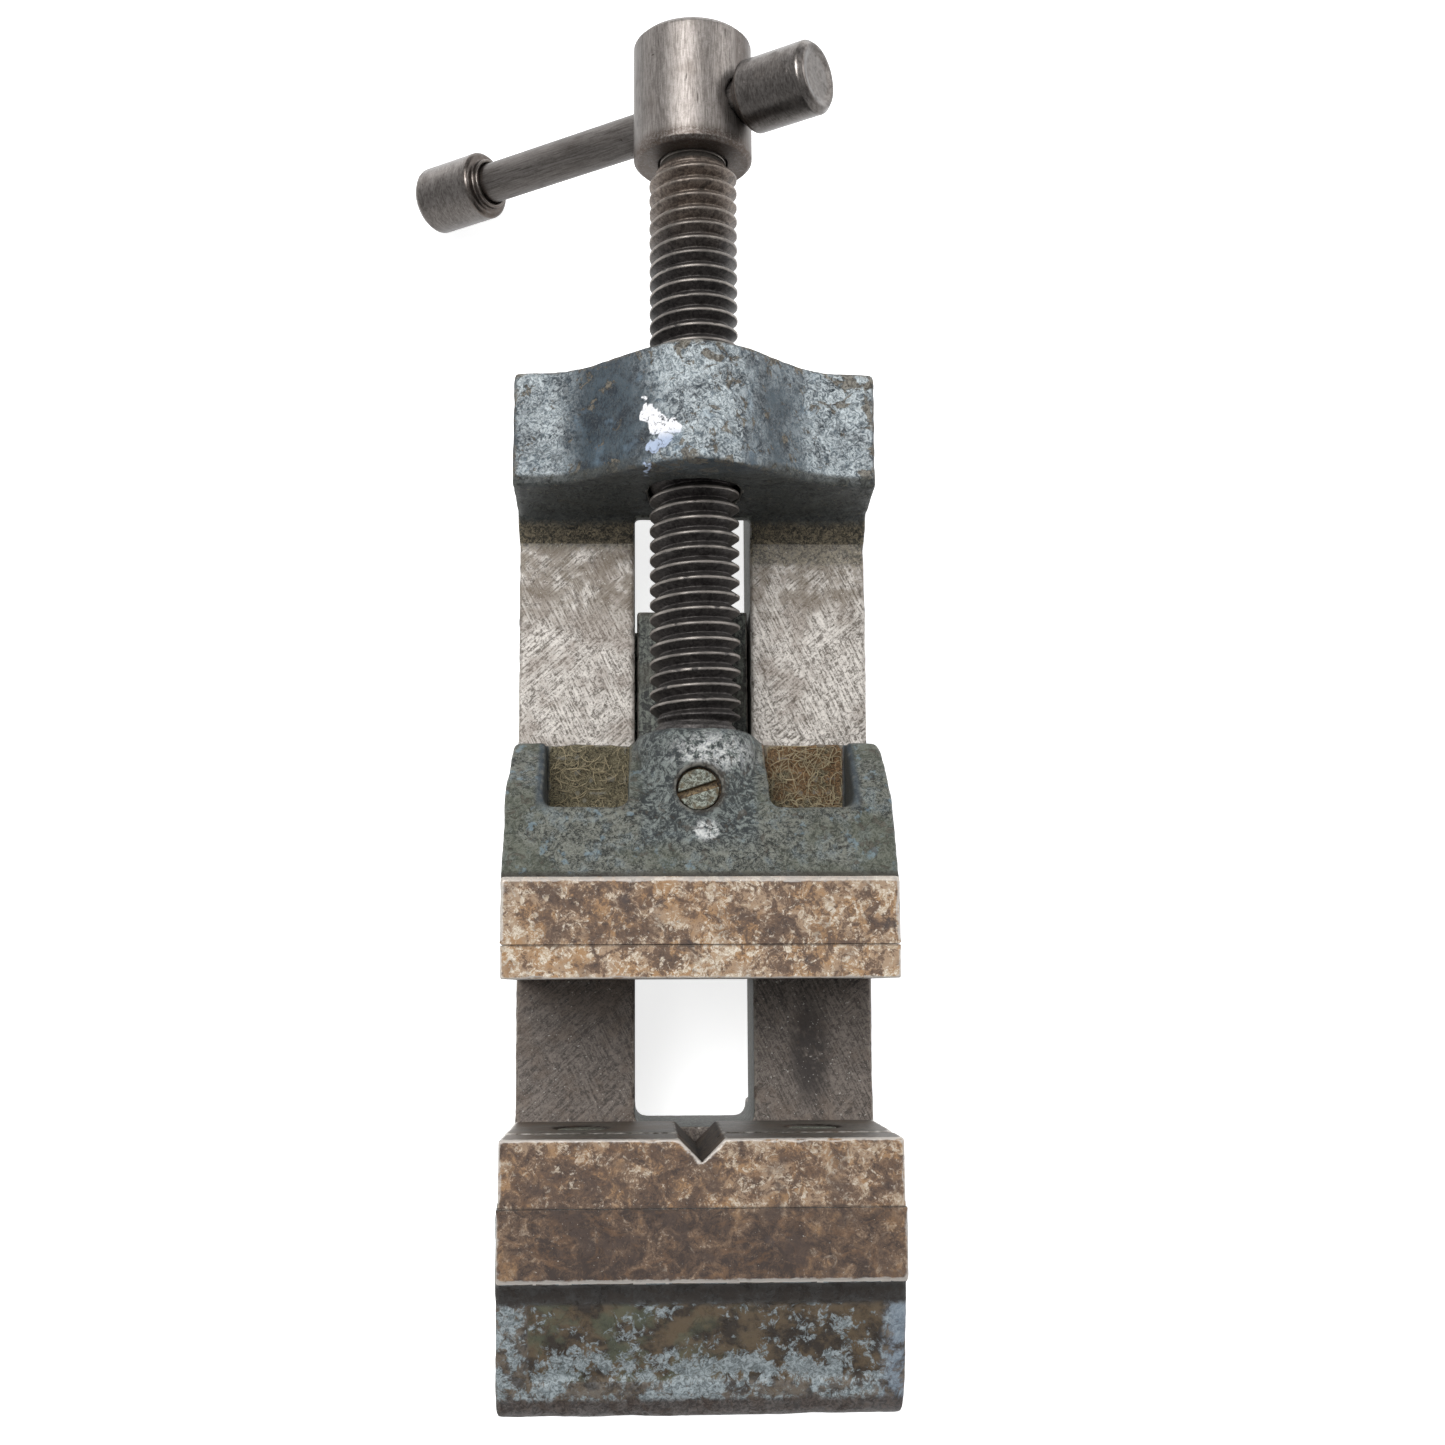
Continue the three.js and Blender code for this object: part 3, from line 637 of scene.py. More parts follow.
def bridge_soot_and_shade(f, up, fine, middle):
    """Soot and painted shade on steep faces, painted shade on the bridge's front face and in the
    hollows, and silt at the bridge's foot. Gives where the silt is.
    """
    # Soot and painted shade darken the steep faces.
    steep = f.rise(up, 0.75, 0.15)
    shade_and_soot_colour = f.span(fine, 0.36, 0.64, (38, 40, 40), (74, 76, 72))
    # Painted shade on the bridge's front face, above the slideways.
    front = f.band(f.y, 110, 122.6, 1.0) * (f.rise(f.z, 60, 50) * f.rise(f.z, 25.5, 28.5))
    soot_and_shade = f.most(steep * 0.6 * f.rise(middle + fine, 0.78, 1.15), front * 0.92)
    f.coat(soot_and_shade, shade_and_soot_colour)
    dust = front * f.rise(f.noise(0.8, 4, 0.7), 0.6, 0.68)
    f.coat(dust * 0.6, (118, 112, 96))
    foot = f.band(f.y, 112, 119.0, 1.5) * f.band(f.z, 27.8, 29.5, 1.5)
    silt = f.span(f.noise(0.8, 6, 0.78, warp=1.5), 0.42, 0.62, (38, 36, 30), (130, 119, 98))
    f.coat(foot * 0.9, silt)
    # Painted shade in the hollows, where the surface lies below its wider surroundings.
    f.coat(f.rise(f.attribute("swell"), -0.25, -0.7), (46, 45, 41))
    return foot


def white_splash(f, fine):
    """A splash of white on the bridge's crown. Gives where it is."""
    wx = f.x + (f.noise(2.4, 3, 0.5) - 0.5) * 3.2
    wy = f.y + (f.noise(2.4, 3, 0.5) - 0.5) * 3.2
    splash = f.stroke(wx, wy, (-8.3, 129.9), (-6.6, 127.6), 1.25, 0.2)
    for start, end, radius in (
        ((-7.0, 126.9), (-4.6, 126.9), 0.75),
        ((-4.3, 127.2), (-3.6, 126.0), 0.95),
        ((-5.6, 125.2), (-7.2, 123.9), 0.9),
        ((-8.6, 132.9), (-8.4, 132.5), 0.4),
        ((-8.9, 121.5), (-8.5, 121.2), 0.25),
    ):
        splash = f.most(splash, f.stroke(wx, wy, start, end, radius, 0.2))
    splash = splash * f.rise(fine, 0.36, 0.44) * f.rise(f.z, 50, 52)
    f.coat(splash, f.span(f.y, 124.5, 127, (176, 190, 214), (248, 248, 251)))
    return splash


def bridge_paint():
    """Blue-grey paint on the base casting: pale on top, rubbed and partly a painted light, and deep blue
    elsewhere with painted shade on the crown's flanks, chipped to brown iron. Soot and painted shade
    darken its steep faces; painted shade lies on the bridge's front face, in the hollows and in the
    cove under the fixed jaw's top; it is grimy at the foot of the bridge, with a splash of white on
    the crown."""
    f = Finish("base_paint")
    up = f.facing_up()
    fine = f.noise(0.9, 6, 0.72, warp=1.4)
    grain = f.noise(0.55, 5, 0.7, (1, 1.8, 1), warp=1.0)
    middle = f.noise(4.0, 6, 0.66)
    broad = f.noise(14, 4, 0.55)
    rubbed = rubbed_and_lit_blue(f, up, fine, grain, middle, broad)
    bare = chipped(f, fine, broad)
    nose, patches = weathered_nose(f, up, fine, middle)
    foot = bridge_soot_and_shade(f, up, fine, middle)
    splash = white_splash(f, fine)
    roughness = f.blend(rubbed, f.blend(middle, 0.5, 0.7), f.blend(fine, 0.38, 0.62))
    roughness = f.blend(f.most(bare, foot), roughness, 0.85)
    relief = fine * 0.6 + (splash * 0.8 - bare * 0.5)
    relief = relief + patches * (nose * 0.8)
    return f.done(roughness, 0.0, relief, 0.16, 0.36)


def boss_scuffs_and_highlight(f, across, fine, coarse):
    """Dark, half bare paint on the boss and two bright patches on its top, scuffs and partly a painted
    highlight. Gives where those patches are.
    """
    boss = f.rise(across, 10.8, 8.5) * f.band(f.y, 59, 78, 4.0)
    bare = fine * 0.6 + coarse * 0.8
    boss_paint = f.span(bare, 0.64, 0.83, (42, 47, 49), (126, 133, 130))
    f.coat(boss * 0.85, boss_paint)
    # Bright patches on the boss's top: scuffs, and partly a painted highlight.
    scuffs_and_highlight = f.most(f.spot(2.6, 72.6, 1.0, 4.2, (1.9, 0.9)), f.spot(1.2, 59.3, 1.0, 1.6, (1.3, 0.9)))
    scuffs_and_highlight = scuffs_and_highlight * f.rise(f.noise(1.8, 5, 0.68) + fine * 0.4, 0.62, 0.76)
    f.coat(scuffs_and_highlight * 0.9, f.span(fine, 0.4, 0.6, (150, 154, 156), (216, 216, 213)))
    return scuffs_and_highlight


def littered_pockets(f, across, fine, middle):
    """Swarf and lint on the pockets' floors and painted shade on their walls. Gives where they are."""
    pocket = f.rise(across, 10.9, 11.5) * f.rise(across, 25.8, 25.0) * f.rise(f.y, 63.0, 63.9)
    pocket = pocket * f.rise(f.z, 53, 49)
    litter = f.span(f.noise(0.7, 6, 0.85, warp=3.0), 0.42, 0.6, (28, 26, 18), (146, 136, 108))
    ruddy = f.span(f.noise(0.7, 6, 0.85, warp=3.0), 0.42, 0.6, (38, 27, 18), (152, 120, 84))
    litter = f.mix(f.rise(f.x, 0, 8) * f.rise(middle, 0.4, 0.55), litter, ruddy)
    f.coat(pocket, litter)
    # Painted shade on the pockets' outer walls.
    wall = f.band(across, 25.2, 26.2, 1.0) * (f.rise(f.y, 62, 65) * (1 - pocket))
    f.coat(wall * 0.8, f.mix(fine, (44, 52, 60), (70, 80, 88)))
    return pocket


def jaw_paint():
    """The moving jaw's paint: greenish grey under old grime, chipped to grey metal on the boss, with
    swarf and lint packed into the pockets. Painted shade darkens its steep faces, hollows and
    pocket walls and rings the retaining screw's hole; the boss's bright scuffs are partly a painted
    highlight."""
    f = Finish("jaw_paint")
    up = f.facing_up()
    across = abs(f.x)
    fine = f.noise(0.9, 6, 0.74, warp=1.6)
    middle = f.noise(3.4, 6, 0.66)
    broad = f.noise(12, 4, 0.55)
    coarse = f.noise(2.0, 5, 0.7, warp=1.8)
    f.colour = f.span(fine * 0.5 + coarse * 0.5, 0.43, 0.58, (36, 38, 35), (114, 115, 106))
    dusty = f.span(fine, 0.4, 0.6, (60, 69, 72), (134, 144, 146))
    f.coat(f.rise(middle, 0.5, 0.62) * 0.55, dusty)
    worms = f.rise(f.noise(0.7, 5, 0.72, warp=2.4), 0.52, 0.6)
    f.coat(worms * 0.45, (146, 150, 143))
    moss = f.rise(broad + f.rise(f.y, 60, 53) * 0.06, 0.48, 0.62)
    f.coat(moss * 0.5, f.mix(fine, (58, 62, 50), (98, 102, 86)))
    sky = f.rise(f.noise(2.6, 4, 0.6), 0.6, 0.68)
    f.coat(sky * 0.5, (118, 140, 152))

    scuffs_and_highlight = boss_scuffs_and_highlight(f, across, fine, coarse)
    chips = f.rise(f.noise(2.0, 5, 0.66, warp=1.0) + (broad - 0.5) * 0.3, 0.59, 0.64)
    f.coat(chips * 0.55, f.mix(fine, (60, 55, 48), (96, 86, 76)))

    # Painted shadow round the retaining screw's hole, standing in for the shade of its recess.
    sunk = f.spot(0.3, 66.6, 3.7, 1.3) * f.rise(middle + fine * 0.5, 0.57, 0.72)
    f.coat(sunk * 0.9, (52, 44, 36))

    pocket = littered_pockets(f, across, fine, middle)
    # Painted shade: steep faces are darkened.
    steep = f.rise(up, 0.55, 0.1)
    f.coat(steep * 0.6, f.mix(fine, (44, 47, 47), (82, 84, 80)))
    # Painted shade in the hollows, outside the pockets.
    f.coat(f.rise(f.attribute("swell"), -0.2, -0.8) * (1 - pocket), (46, 49, 47))
    rims = f.rims(f.noise(1.4, 5, 0.65), 0.22, 0.08, 0.15)
    f.coat(rims * 0.5, (136, 134, 126))
    crest = f.rise(f.y, 52.9, 52.0) * f.rise(f.z, 60, 62.5)
    f.coat(crest * 0.75, (52, 46, 40))

    roughness = f.blend(fine, 0.55, 0.78)
    roughness = f.blend(scuffs_and_highlight, roughness, 0.42)
    relief = fine * 0.7 - chips * 0.5 + pocket * f.noise(0.4, 5, 0.8)
    return f.done(roughness, 0.0, relief, 0.22, 0.36)


def rusty_top(name, darker, warmer):
    """Machined steel gone mottled brown: tan and cream where it is rubbed, dark in old spots, with
    painted shade where its edges turn down and along the seams to the castings.

    darker and warmer lean the mottling towards dark brown and towards orange; a darker below 0
    makes it paler."""
    f = Finish(name)
    dark = max(darker, 0)
    fine = f.noise(0.9, 7, 0.8, warp=1.6)
    middle = f.noise(2.8, 6, 0.7, warp=0.8)
    broad = f.noise(12, 4, 0.55)
    ends = f.rise(abs(f.x), 26, 31.6)
    lip = f.rise(abs(f.y - 23), 14.8, 12.4)
    tone = fine * 0.36 + middle * 0.44 + broad * 0.2
    left = f.rise(f.x, 4, -6) * (0.022 * warmer)
    tone = tone + (f.most(ends, lip) * 0.03 - left - 0.07 * darker)
    umber = f.span(tone, 0.36, 0.48, (66, 53, 47), (108, 86, 70))
    tan = f.span(f.noise(4.5, 4, 0.6), 0.42, 0.6, (168, 143, 118), (166, 130, 92))
    cream = f.span(fine, 0.46, 0.6, (190, 172, 148), (230, 221, 206))
    soft = 0.03 * dark
    f.colour = f.mix(f.rise(tone, 0.465 - soft, 0.515 + soft) * (1.0 - 0.3 * dark), umber, tan)
    clots = f.noise(1.8, 5, 0.74, warp=1.2) * 0.5 + tone * 0.5
    f.coat(f.rise(clots, 0.505, 0.555) * (1.0 - 0.85 * dark), cream)
    streaks = f.rise(f.noise(3.4, 6, 0.72, (1.6, 1, 1), warp=1.5), 0.5, 0.64)
    f.coat(streaks * (0.08 + 0.22 * warmer), (146, 108, 74))
    cloud = f.rise(f.noise(5.0, 5, 0.62) + (fine - 0.5) * 0.3, 0.52, 0.64)
    f.coat(cloud * (0.36 + 0.4 * darker), (80, 65, 58))
    f.shade(1.0 - 0.2 * dark)
    spots = f.rise(f.cells(6.5) + (middle - 0.5) * 0.5, 0.17, 0.05)
    f.coat(spots * 0.7, (70, 61, 59))
    pits = f.rise(f.noise(0.6, 3, 0.6), 0.61, 0.7)
    f.coat(pits * 0.5, (70, 53, 43))
    glints = f.rise(f.noise(0.5, 2, 0.6), 0.7, 0.74)
    f.coat(glints * 0.4, (232, 226, 214))
    # Painted shade: darker brown where the surface turns away from up, on the top's edges.
    side = f.rise(f.facing_up(), 0.7, 0.3)
    flank = f.span(f.noise(2.0, 5, 0.7, (1, 1, 0.5)), 0.4, 0.64, (52, 48, 44), (106, 96, 86))
    f.coat(side, flank)
    seam = f.nearer(FIXED_SEAM, MOVING_SEAM)
    rims = f.rims(f.noise(1.6, 5, 0.65), 0.14, 0.03, 0.08)
    back = f.rise(f.nearer(FIXED_BACK, MOVING_BACK) + (middle - 0.5) * 1.2, 0.55, 0.3)
    rims = f.most(rims, back * 0.8) * f.rise(seam, 0.5, 1.1)
    f.coat(rims * 0.8, (204, 198, 191))
    # A dark line along each seam: dirt, and painted shade standing in for the gap there.
    seam_dirt_and_shade = f.rise(seam + (middle - 0.5) * 0.8, 0.34, 0.08) * 0.6
    f.coat(seam_dirt_and_shade, (70, 58, 50))
    bright = f.most(rims, f.rise(tone, 0.54, 0.6) * 0.4)
    roughness = f.blend(bright, f.blend(fine, 0.6, 0.82), 0.42)
    relief = fine * 0.8 - (pits * 0.6 + spots * 0.3)
    return f.done(roughness, bright * 0.5, relief, 0.1)


def ground_ways():
    """Hand-scraped slideways: pale bare steel with steep slanting marks where the jaw seldom runs,
    browned and grimy towards the fixed jaw and at the foot of the bridge."""
    f = Finish("ground_ways")
    broad = f.noise(12, 3, 0.55)
    steep = f.noise(0.34, 3, 0.6, (1, 16, 1), (0, 0, math.radians(-26)), warp=0.3)
    flat = f.noise(0.34, 3, 0.6, (1, 12, 1), (0, 0, math.radians(48)), warp=0.3)
    crossing = f.rise(f.noise(9, 2) + f.rise(f.x, 0, -20) * 0.12, 0.56, 0.62)
    marks = f.blend(crossing, steep, flat)
    speckle = f.noise(0.7, 6, 0.78, warp=1.0)
    middle = f.noise(3.2, 5, 0.65)
    grain = marks * 0.38 + speckle * 0.72
    pale = f.span(grain, 0.45, 0.63, (88, 81, 73), (206, 200, 193))
    dull = f.span(grain, 0.44, 0.66, (62, 54, 48), (128, 118, 110))
    rear = f.rise(f.y + (broad - 0.5) * 8, 34, 60)
    f.colour = f.mix(rear, dull, pale)
    brown = f.noise(6, 5, 0.65) + ((speckle - 0.5) * 0.4 + f.rise(f.x, 5, -10) * 0.065)
    brown = f.rise(brown, 0.5, 0.66)
    f.coat(brown * 0.45, f.mix(speckle, (66, 54, 46), (124, 106, 90)))
    right_stain = f.spot(20.5, 22.5, 1.6, 3.4, (1.0, 2.6)) * f.rise(middle + speckle * 0.4, 0.52, 0.68)
    f.coat(right_stain * 0.9, (40, 32, 29))
    old_oil = f.rise(f.y, 97, 107) * f.rise(middle + speckle * 0.6, 0.68, 0.88)
    f.coat(old_oil * 0.7, (94, 82, 66))
    reach = f.rise(f.x, -10, 10) * 3.2
    foot = f.rise(f.y + (speckle - 0.5) * 3 + (reach - 1.0), 112.6, 114.2) * f.rise(f.y, 60, 100)
    f.coat(foot * 0.85, f.span(speckle, 0.4, 0.62, (46, 43, 34), (136, 126, 106)))
    specks = f.rise(f.noise(1.1, 4, 0.6), 0.62, 0.7)
    f.coat(specks * 0.75, (74, 62, 52))
    glints = f.rise(f.noise(0.5, 2, 0.6), 0.68, 0.72)
    f.coat(glints * 0.5, (222, 218, 210))
    rims = f.rims(f.noise(1.2, 4), 0.1, 0.06, 0.12)
    f.coat(rims * 0.4, (178, 170, 160))
    metal = rear * (1 - foot) * 0.3
    roughness = f.blend(rear, 0.6, f.blend(speckle, 0.42, 0.6))
    relief = marks * 0.7 + (speckle * 0.4 - specks * 0.4)
    return f.done(roughness, metal, relief, 0.05)


def oily_steel():
    """Milled faces that stay out of sight: dark, oily steel with packed dust."""
    f = Finish("oily_steel")
    marks = f.noise(0.5, 3, 0.6, (1, 9, 1))
    speckle = f.noise(0.9, 5, 0.72, warp=1.2)
    broad = f.noise(9, 4, 0.55)
    grain = marks * 0.3 + speckle * 0.7
    f.colour = f.span(grain, 0.42, 0.62, (26, 28, 27), (116, 120, 112))
    f.coat(f.rise(broad, 0.45, 0.65) * 0.4, (66, 60, 48))
    rims = f.rims(speckle, 0.1, 0.05, 0.1)
    f.coat(rims * 0.6, (156, 150, 142))
    roughness = f.blend(speckle, 0.42, 0.75)
    relief = marks * 0.5 + speckle * 0.5
    return f.done(roughness, 0.35, relief, 0.06)


def plate_steel():
    """Working faces of the jaw plates: hardened steel, grey-brown, scratched across."""
    f = Finish("plate_steel")
    scratches = f.noise(0.35, 3, 0.6, (16, 1, 1))
    speckle = f.noise(0.9, 5, 0.7, warp=1.0)
    broad = f.noise(9, 4, 0.6)
    grain = scratches * 0.5 + speckle * 0.5
    hole = f.distance(abs(f.x) - PLATE_SCREW_X, f.z - PLATE_SCREW_Z)
    f.colour = f.span(grain, 0.4, 0.62, (62, 58, 54), (124, 118, 110))
    ring = f.rise(hole + (speckle - 0.5) * 1.6, 6.0, 4.4)
    f.coat(ring * 0.85, (42, 37, 33))
    notch = f.rise(abs(f.x), 4.2, 3.4) * f.rise(f.y, 14, 12)
    f.coat(notch * 0.92, f.span(speckle, 0.4, 0.62, (26, 21, 18), (76, 63, 52)))
    f.coat(f.rise(broad, 0.44, 0.66) * 0.6, (92, 74, 58))
    rims = f.rims(f.noise(1.3, 5), 0.09, 0.035, 0.08)
    rims = rims * (f.rise(hole, 5, 6) * (1 - notch * f.rise(f.z, 64, 63)))
    f.coat(rims * 0.85, (208, 203, 196))
    roughness = f.blend(notch, f.blend(grain, 0.36, 0.62), 0.85)
    return f.done(roughness, f.blend(notch, 0.5, 0.0), grain, 0.05)


def thread_steel():
    """The spindle: nearly black oily flanks, crests rubbed bright, browner towards the handle."""
    f = Finish("thread_steel")
    radius = f.distance(f.x, f.z - AXIS_Z)
    speckle = f.noise(0.8, 5, 0.7, warp=1.0)
    patches = f.noise(5, 4, 0.6)
    handle_end = f.rise(f.y + (patches - 0.5) * 14, 160, 176)
    dark = f.span(speckle, 0.36, 0.66, (50, 47, 46), (88, 84, 82))
    brown = f.span(speckle, 0.36, 0.66, (84, 74, 67), (140, 127, 116))
    f.colour = f.mix(handle_end * 0.85, dark, brown)
    oil = f.rise(f.noise(2.4, 4, 0.65), 0.58, 0.66)
    f.coat(oil * 0.5, (34, 30, 27))
    crest = f.rise(radius + (speckle - 0.5) * 0.3, 7.76, 7.9) * f.rise(f.y, 79, 82)
    crest = crest * f.blend(f.rise(patches, 0.4, 0.6), 0.5, 1.0)
    f.coat(crest * f.blend(handle_end, 0.75, 0.25), (160, 153, 146))
    shank = f.rise(f.y, 181.0, 181.6)
    f.coat(shank * 0.7, f.mix(speckle, (86, 80, 74), (160, 154, 148)))
    roughness = f.blend(crest, f.blend(speckle, 0.34, 0.58), 0.42)
    rings = f.noise(0.3, 2, 0.5, (14, 1, 14))
    relief = rings * 0.6 + speckle * 0.5
    return f.done(roughness, 0.65, relief, 0.05)


def bright_steel(name, stretch, turn, streaks, tone, dullness):
    """Bare drawn or turned steel: warm grey, streaked along stretch, with painted shade on its flanks.

    streaks is how strongly nicks show, tone scales the colour and dullness is the least roughness."""
    f = Finish(name)
    grain = f.noise(0.22, 3, 0.6, stretch, turn)
    bands = f.noise(0.9, 3, 0.6, stretch, turn)
    speckle = f.noise(0.6, 6, 0.75, warp=1.2)
    middle = f.noise(5.0, 4, 0.6)
    lines = grain * 0.45 + (bands * 0.25 + speckle * 0.3)
    f.colour = f.span(lines, 0.36, 0.64, (118, 111, 106), (176, 169, 164))
    nicks = f.rise(f.noise(0.5, 2, 0.6, stretch, turn), 0.66, 0.71)
    f.coat(nicks * streaks, (66, 60, 56))
    film = f.rise(middle + (speckle - 0.5) * 0.4, 0.54, 0.72)
    f.coat(film * 0.22, (104, 90, 78))
    pits = f.rise(f.noise(1.1, 2, 0.5), 0.73, 0.76)
    f.coat(pits * 0.7, (70, 60, 54))
    rims = f.rims(speckle, 0.06, 0.03, 0.07)
    f.coat(rims * 0.4, (206, 200, 194))
    # Painted shade: the colour is darkened where the surface turns away from up.
    flank = f.rise(f.facing_up(), 0.97, 0.45)
    f.shade(f.blend(flank, tone, 0.4 * tone))
    # Darker brown at the bar's joints with its caps and at the head's front end: grime, and partly painted
    # shade.
    along = f.x * BAR_AXIS[0] + (f.z - AXIS_Z) * BAR_AXIS[2]
    left, right = BAR_STOPS
    collar = f.most(f.band(along, left - 1.8, left + 0.5, 0.5), f.band(along, right - 0.3, right + 1.7, 0.5))
    collar = f.most(collar * 0.6, f.band(f.y, 170, 184.0, 1.6) * 0.8)
    f.coat(collar * f.rise(speckle, 0.38, 0.56), (74, 62, 54))
    roughness = f.blend(film, f.blend(lines, dullness, dullness + 0.1), 0.52)
    relief = grain * 0.6 + speckle * 0.3 - (nicks * 0.5 + pits * 0.6)
    return f.done(roughness, 0.95, relief, 0.02)


def screw_steel(name, warmth, tone):
    """Old fasteners: dull steel under brown dirt, thickest round the retaining screw's rim.

    warmth is how strongly the dirt shows and tone scales the colour."""
    f = Finish(name)
    speckle = f.noise(0.7, 5, 0.72, warp=1.2)
    patches = f.noise(1.8, 4, 0.62)
    f.colour = f.span(speckle, 0.42, 0.62, (70, 70, 60), (166, 173, 162))
    rim_dirt = 1.0 - f.spot(0, RETAINER_Y, 1.9, 1.2) * 0.75
    brown = f.rise(patches, 0.42, 0.58) * rim_dirt * (0.4 + 0.4 * warmth)
    f.coat(brown, (92, 78, 52))
    # Darker in the hollows: dirt, and partly painted shade.
    f.coat(f.rise(f.attribute("swell"), -0.02, -0.3), (44, 36, 24))
    packed = f.rise(f.z, 56.7, 56.3) * f.rise(f.y, 60, 62)
    ochre = f.span(speckle, 0.4, 0.6, (58, 44, 28), (134, 112, 78))
    f.coat(packed * 0.9, ochre)
    rims = f.rims(speckle, 0.05, 0.02, 0.06)
    f.coat(rims * 0.4, (160, 158, 146))
    roughness = f.blend(speckle, 0.45, 0.75)
    f.shade(tone)
    return f.done(roughness, 0.35, speckle, 0.06)


def packed_dirt():
    """Dirt pressed into the gap round the retaining screw."""
    f = Finish("packed_dirt")
    grit = f.rise(f.noise(0.5, 5, 0.8, warp=1.0), 0.4, 0.62)
    f.colour = f.mix(grit, (38, 30, 22), (112, 92, 66))
    return f.done(f.blend(grit, 0.75, 0.95), 0.0, grit, 0.15)


def fibre_finish():
    """Lint and swarf, each strand its own tone."""
    f = Finish("fibres")
    f.colour = f.mix(f.noise(0.9, 3), (60, 44, 28), (214, 198, 160))
    return f.done(f.blend(f.noise(0.6, 3), 0.6, 0.85), 0.0, f.noise(0.2, 2), 0.02)


# ---------------------------------------------------------------- pieces from the castings


def worked_casting(node, voxel, cast_weight, seed):
    """A casting with soft edges and lumpy skin where cast_weight is 1, and true faces where 0."""
    skin = Skin(fine_mesh(node, voxel))
    low, high = skin.co.min(0), skin.co.max(0)
    cast = cast_weight(skin.co, skin.normal).astype(float)
    cast = smoothstep(skin.blurred(cast, 10), 0.45, 0.95) * cast
    skin.co = skin.blurred(skin.co, 4, 0.5, cast)
    skin.eased(16, cast)
    skin.write()
    lumps = lattice_noise(skin.co, 6.0, seed)
    grit = lattice_noise(skin.co, 2.1, seed + 1)
    sand = lattice_noise(skin.co, 1.0, seed + 2)
    rise = cast * (0.16 * lumps + 0.10 * grit + 0.06 * sand - 0.02)
    skin.co = skin.co + skin.normal * rise[:, None]
    nick_edges(skin, 0.25, seed + 3, 1 - cast)
    skin.co = np.clip(skin.co, low, high)
    square_seams(skin.co)
    skin.write()
    return skin


def from_axis(x, z):
    """Distance to the spindle's axis."""
    return np.hypot(x, z - AXIS_Z)


def base_cast_weight(co, normal):
    """0 on the base's machined faces and in its slot and bore, 1 on its cast skin."""
    x, y, z = co.T
    top = (z > JAW_TOP - 0.25) & (y < 0)
    ways = (np.abs(z - WAYS_Z) < 0.2) & (normal[:, 2] > 0.8) & (y > 0) & (y < BRIDGE_FOOT + 1)
    seat = (y > -0.3) & (y < 0.3)
    under = z < 0.25
    slot = (np.abs(x) < 10.8) & (z < 32)
    recess = (np.abs(x) < 21.3) & (z < 9.3) & (y > 12)
    bore = from_axis(x, z) < BRIDGE_BORE
    return ~(top | ways | seat | under | slot | recess | bore)


def make_base():
    """The base's casting, with its zones: jaw top, slideways, hidden milled faces and paint."""
    skin = worked_casting("base_casting", 0.5, base_cast_weight, 11)
    skin.store_relief()
    top = rusty_top("fixed_jaw_top", 0.9, 1.0)
    finishes = [top, ground_ways(), oily_steel(), bridge_paint()]
    new_piece("cast_base", skin.mesh, finishes, "base", "base_paint", "base_casting")
    rules = [
        lambda x, y, z, up: (z > JAW_TOP - 0.9) & (y > -11.5) & (y < 0.4) & (up > 0.5),
        lambda x, y, z, up: (np.abs(z - WAYS_Z) < 0.6) & (up > 0.3) & (y > 0) & (y < BRIDGE_FOOT),
        lambda x, y, z, up: (np.abs(x) < 10.9) & (z < 32) & (y > 8)
        | (z < 0.4)
        | (np.abs(x) < 21.4) & (z < 9.4) & (y > 12)
        | (from_axis(x, z) < BRIDGE_BORE + 0.1) & (y > 100),
    ]
    paint_zones(skin.mesh, rules)


def jaw_cast_weight(co, normal):
    """0 on the moving jaw's machined faces and in its bores, 1 on its cast skin."""
    x, y, z = co.T
    bores = (from_axis(x, z) < JAW_BORE) | ((np.hypot(x, y - RETAINER_Y) < 4.1) & (z > 45))
    return ~((z > JAW_TOP - 0.25) | (y < 41.2) | (z < WAYS_Z + 0.6) | bores)


def make_moving_jaw():
    """The jaw's casting, with heaps of litter on the floors of its two pockets."""
    skin = worked_casting("moving_jaw_casting", 0.5, jaw_cast_weight, 31)
    x, y, z = skin.co.T
    pocket = between(np.abs(x), 12.0, 25.2, 0.5) * smoothstep(y, 63.4, 64.4) * (1 - smoothstep(z, 43.6, 45))
    heap = 0.55 + 0.35 * lattice_noise(skin.co, 3.5, 41) + 0.3 * lattice_noise(skin.co, 1.2, 42)
    skin.co[:, 2] += pocket * np.clip(heap, 0, 1.4) * 1.5
    skin.write()
    skin.store_relief()
    finishes = [rusty_top("moving_jaw_top", 0.15, 0.5), oily_steel(), jaw_paint()]
    new_piece("cast_moving_jaw", skin.mesh, finishes, "moving_jaw", "jaw_paint", "moving_jaw_casting")
    rules = [
        lambda x, y, z, up: (z > JAW_TOP - 0.9) & (y < 51.6) & (up > 0.5),
        lambda x, y, z, up: (z < WAYS_Z + 0.6) | (from_axis(x, z) < JAW_BORE) | (y < 41.0),
    ]
    paint_zones(skin.mesh, rules)


def make_refined(node, name, body, slot, voxel, materials, rules=(), nicks=0.0, seed=0, ease=0, shift=None):
    """A piece meshed finely from its CAD node, then moved, eased and nicked as asked."""
    skin = Skin(fine_mesh(node, voxel))
    if shift:
        shift(skin.co)
    if ease:
        skin.co = skin.blurred(skin.co, ease)
    if nicks:
        nick_edges(skin, nicks, seed)
    square_seams(skin.co)
    skin.write()
    skin.store_relief()
    new_piece(name, skin.mesh, materials, body, slot, node)
    paint_zones(skin.mesh, rules)


def seat_fixed_plate(co):
    """Closes the plate up to its casting: the CAD keeps a small gap between the two."""
    co[:, 1] -= PLATE_GAP * (co[:, 1] < 0.6)


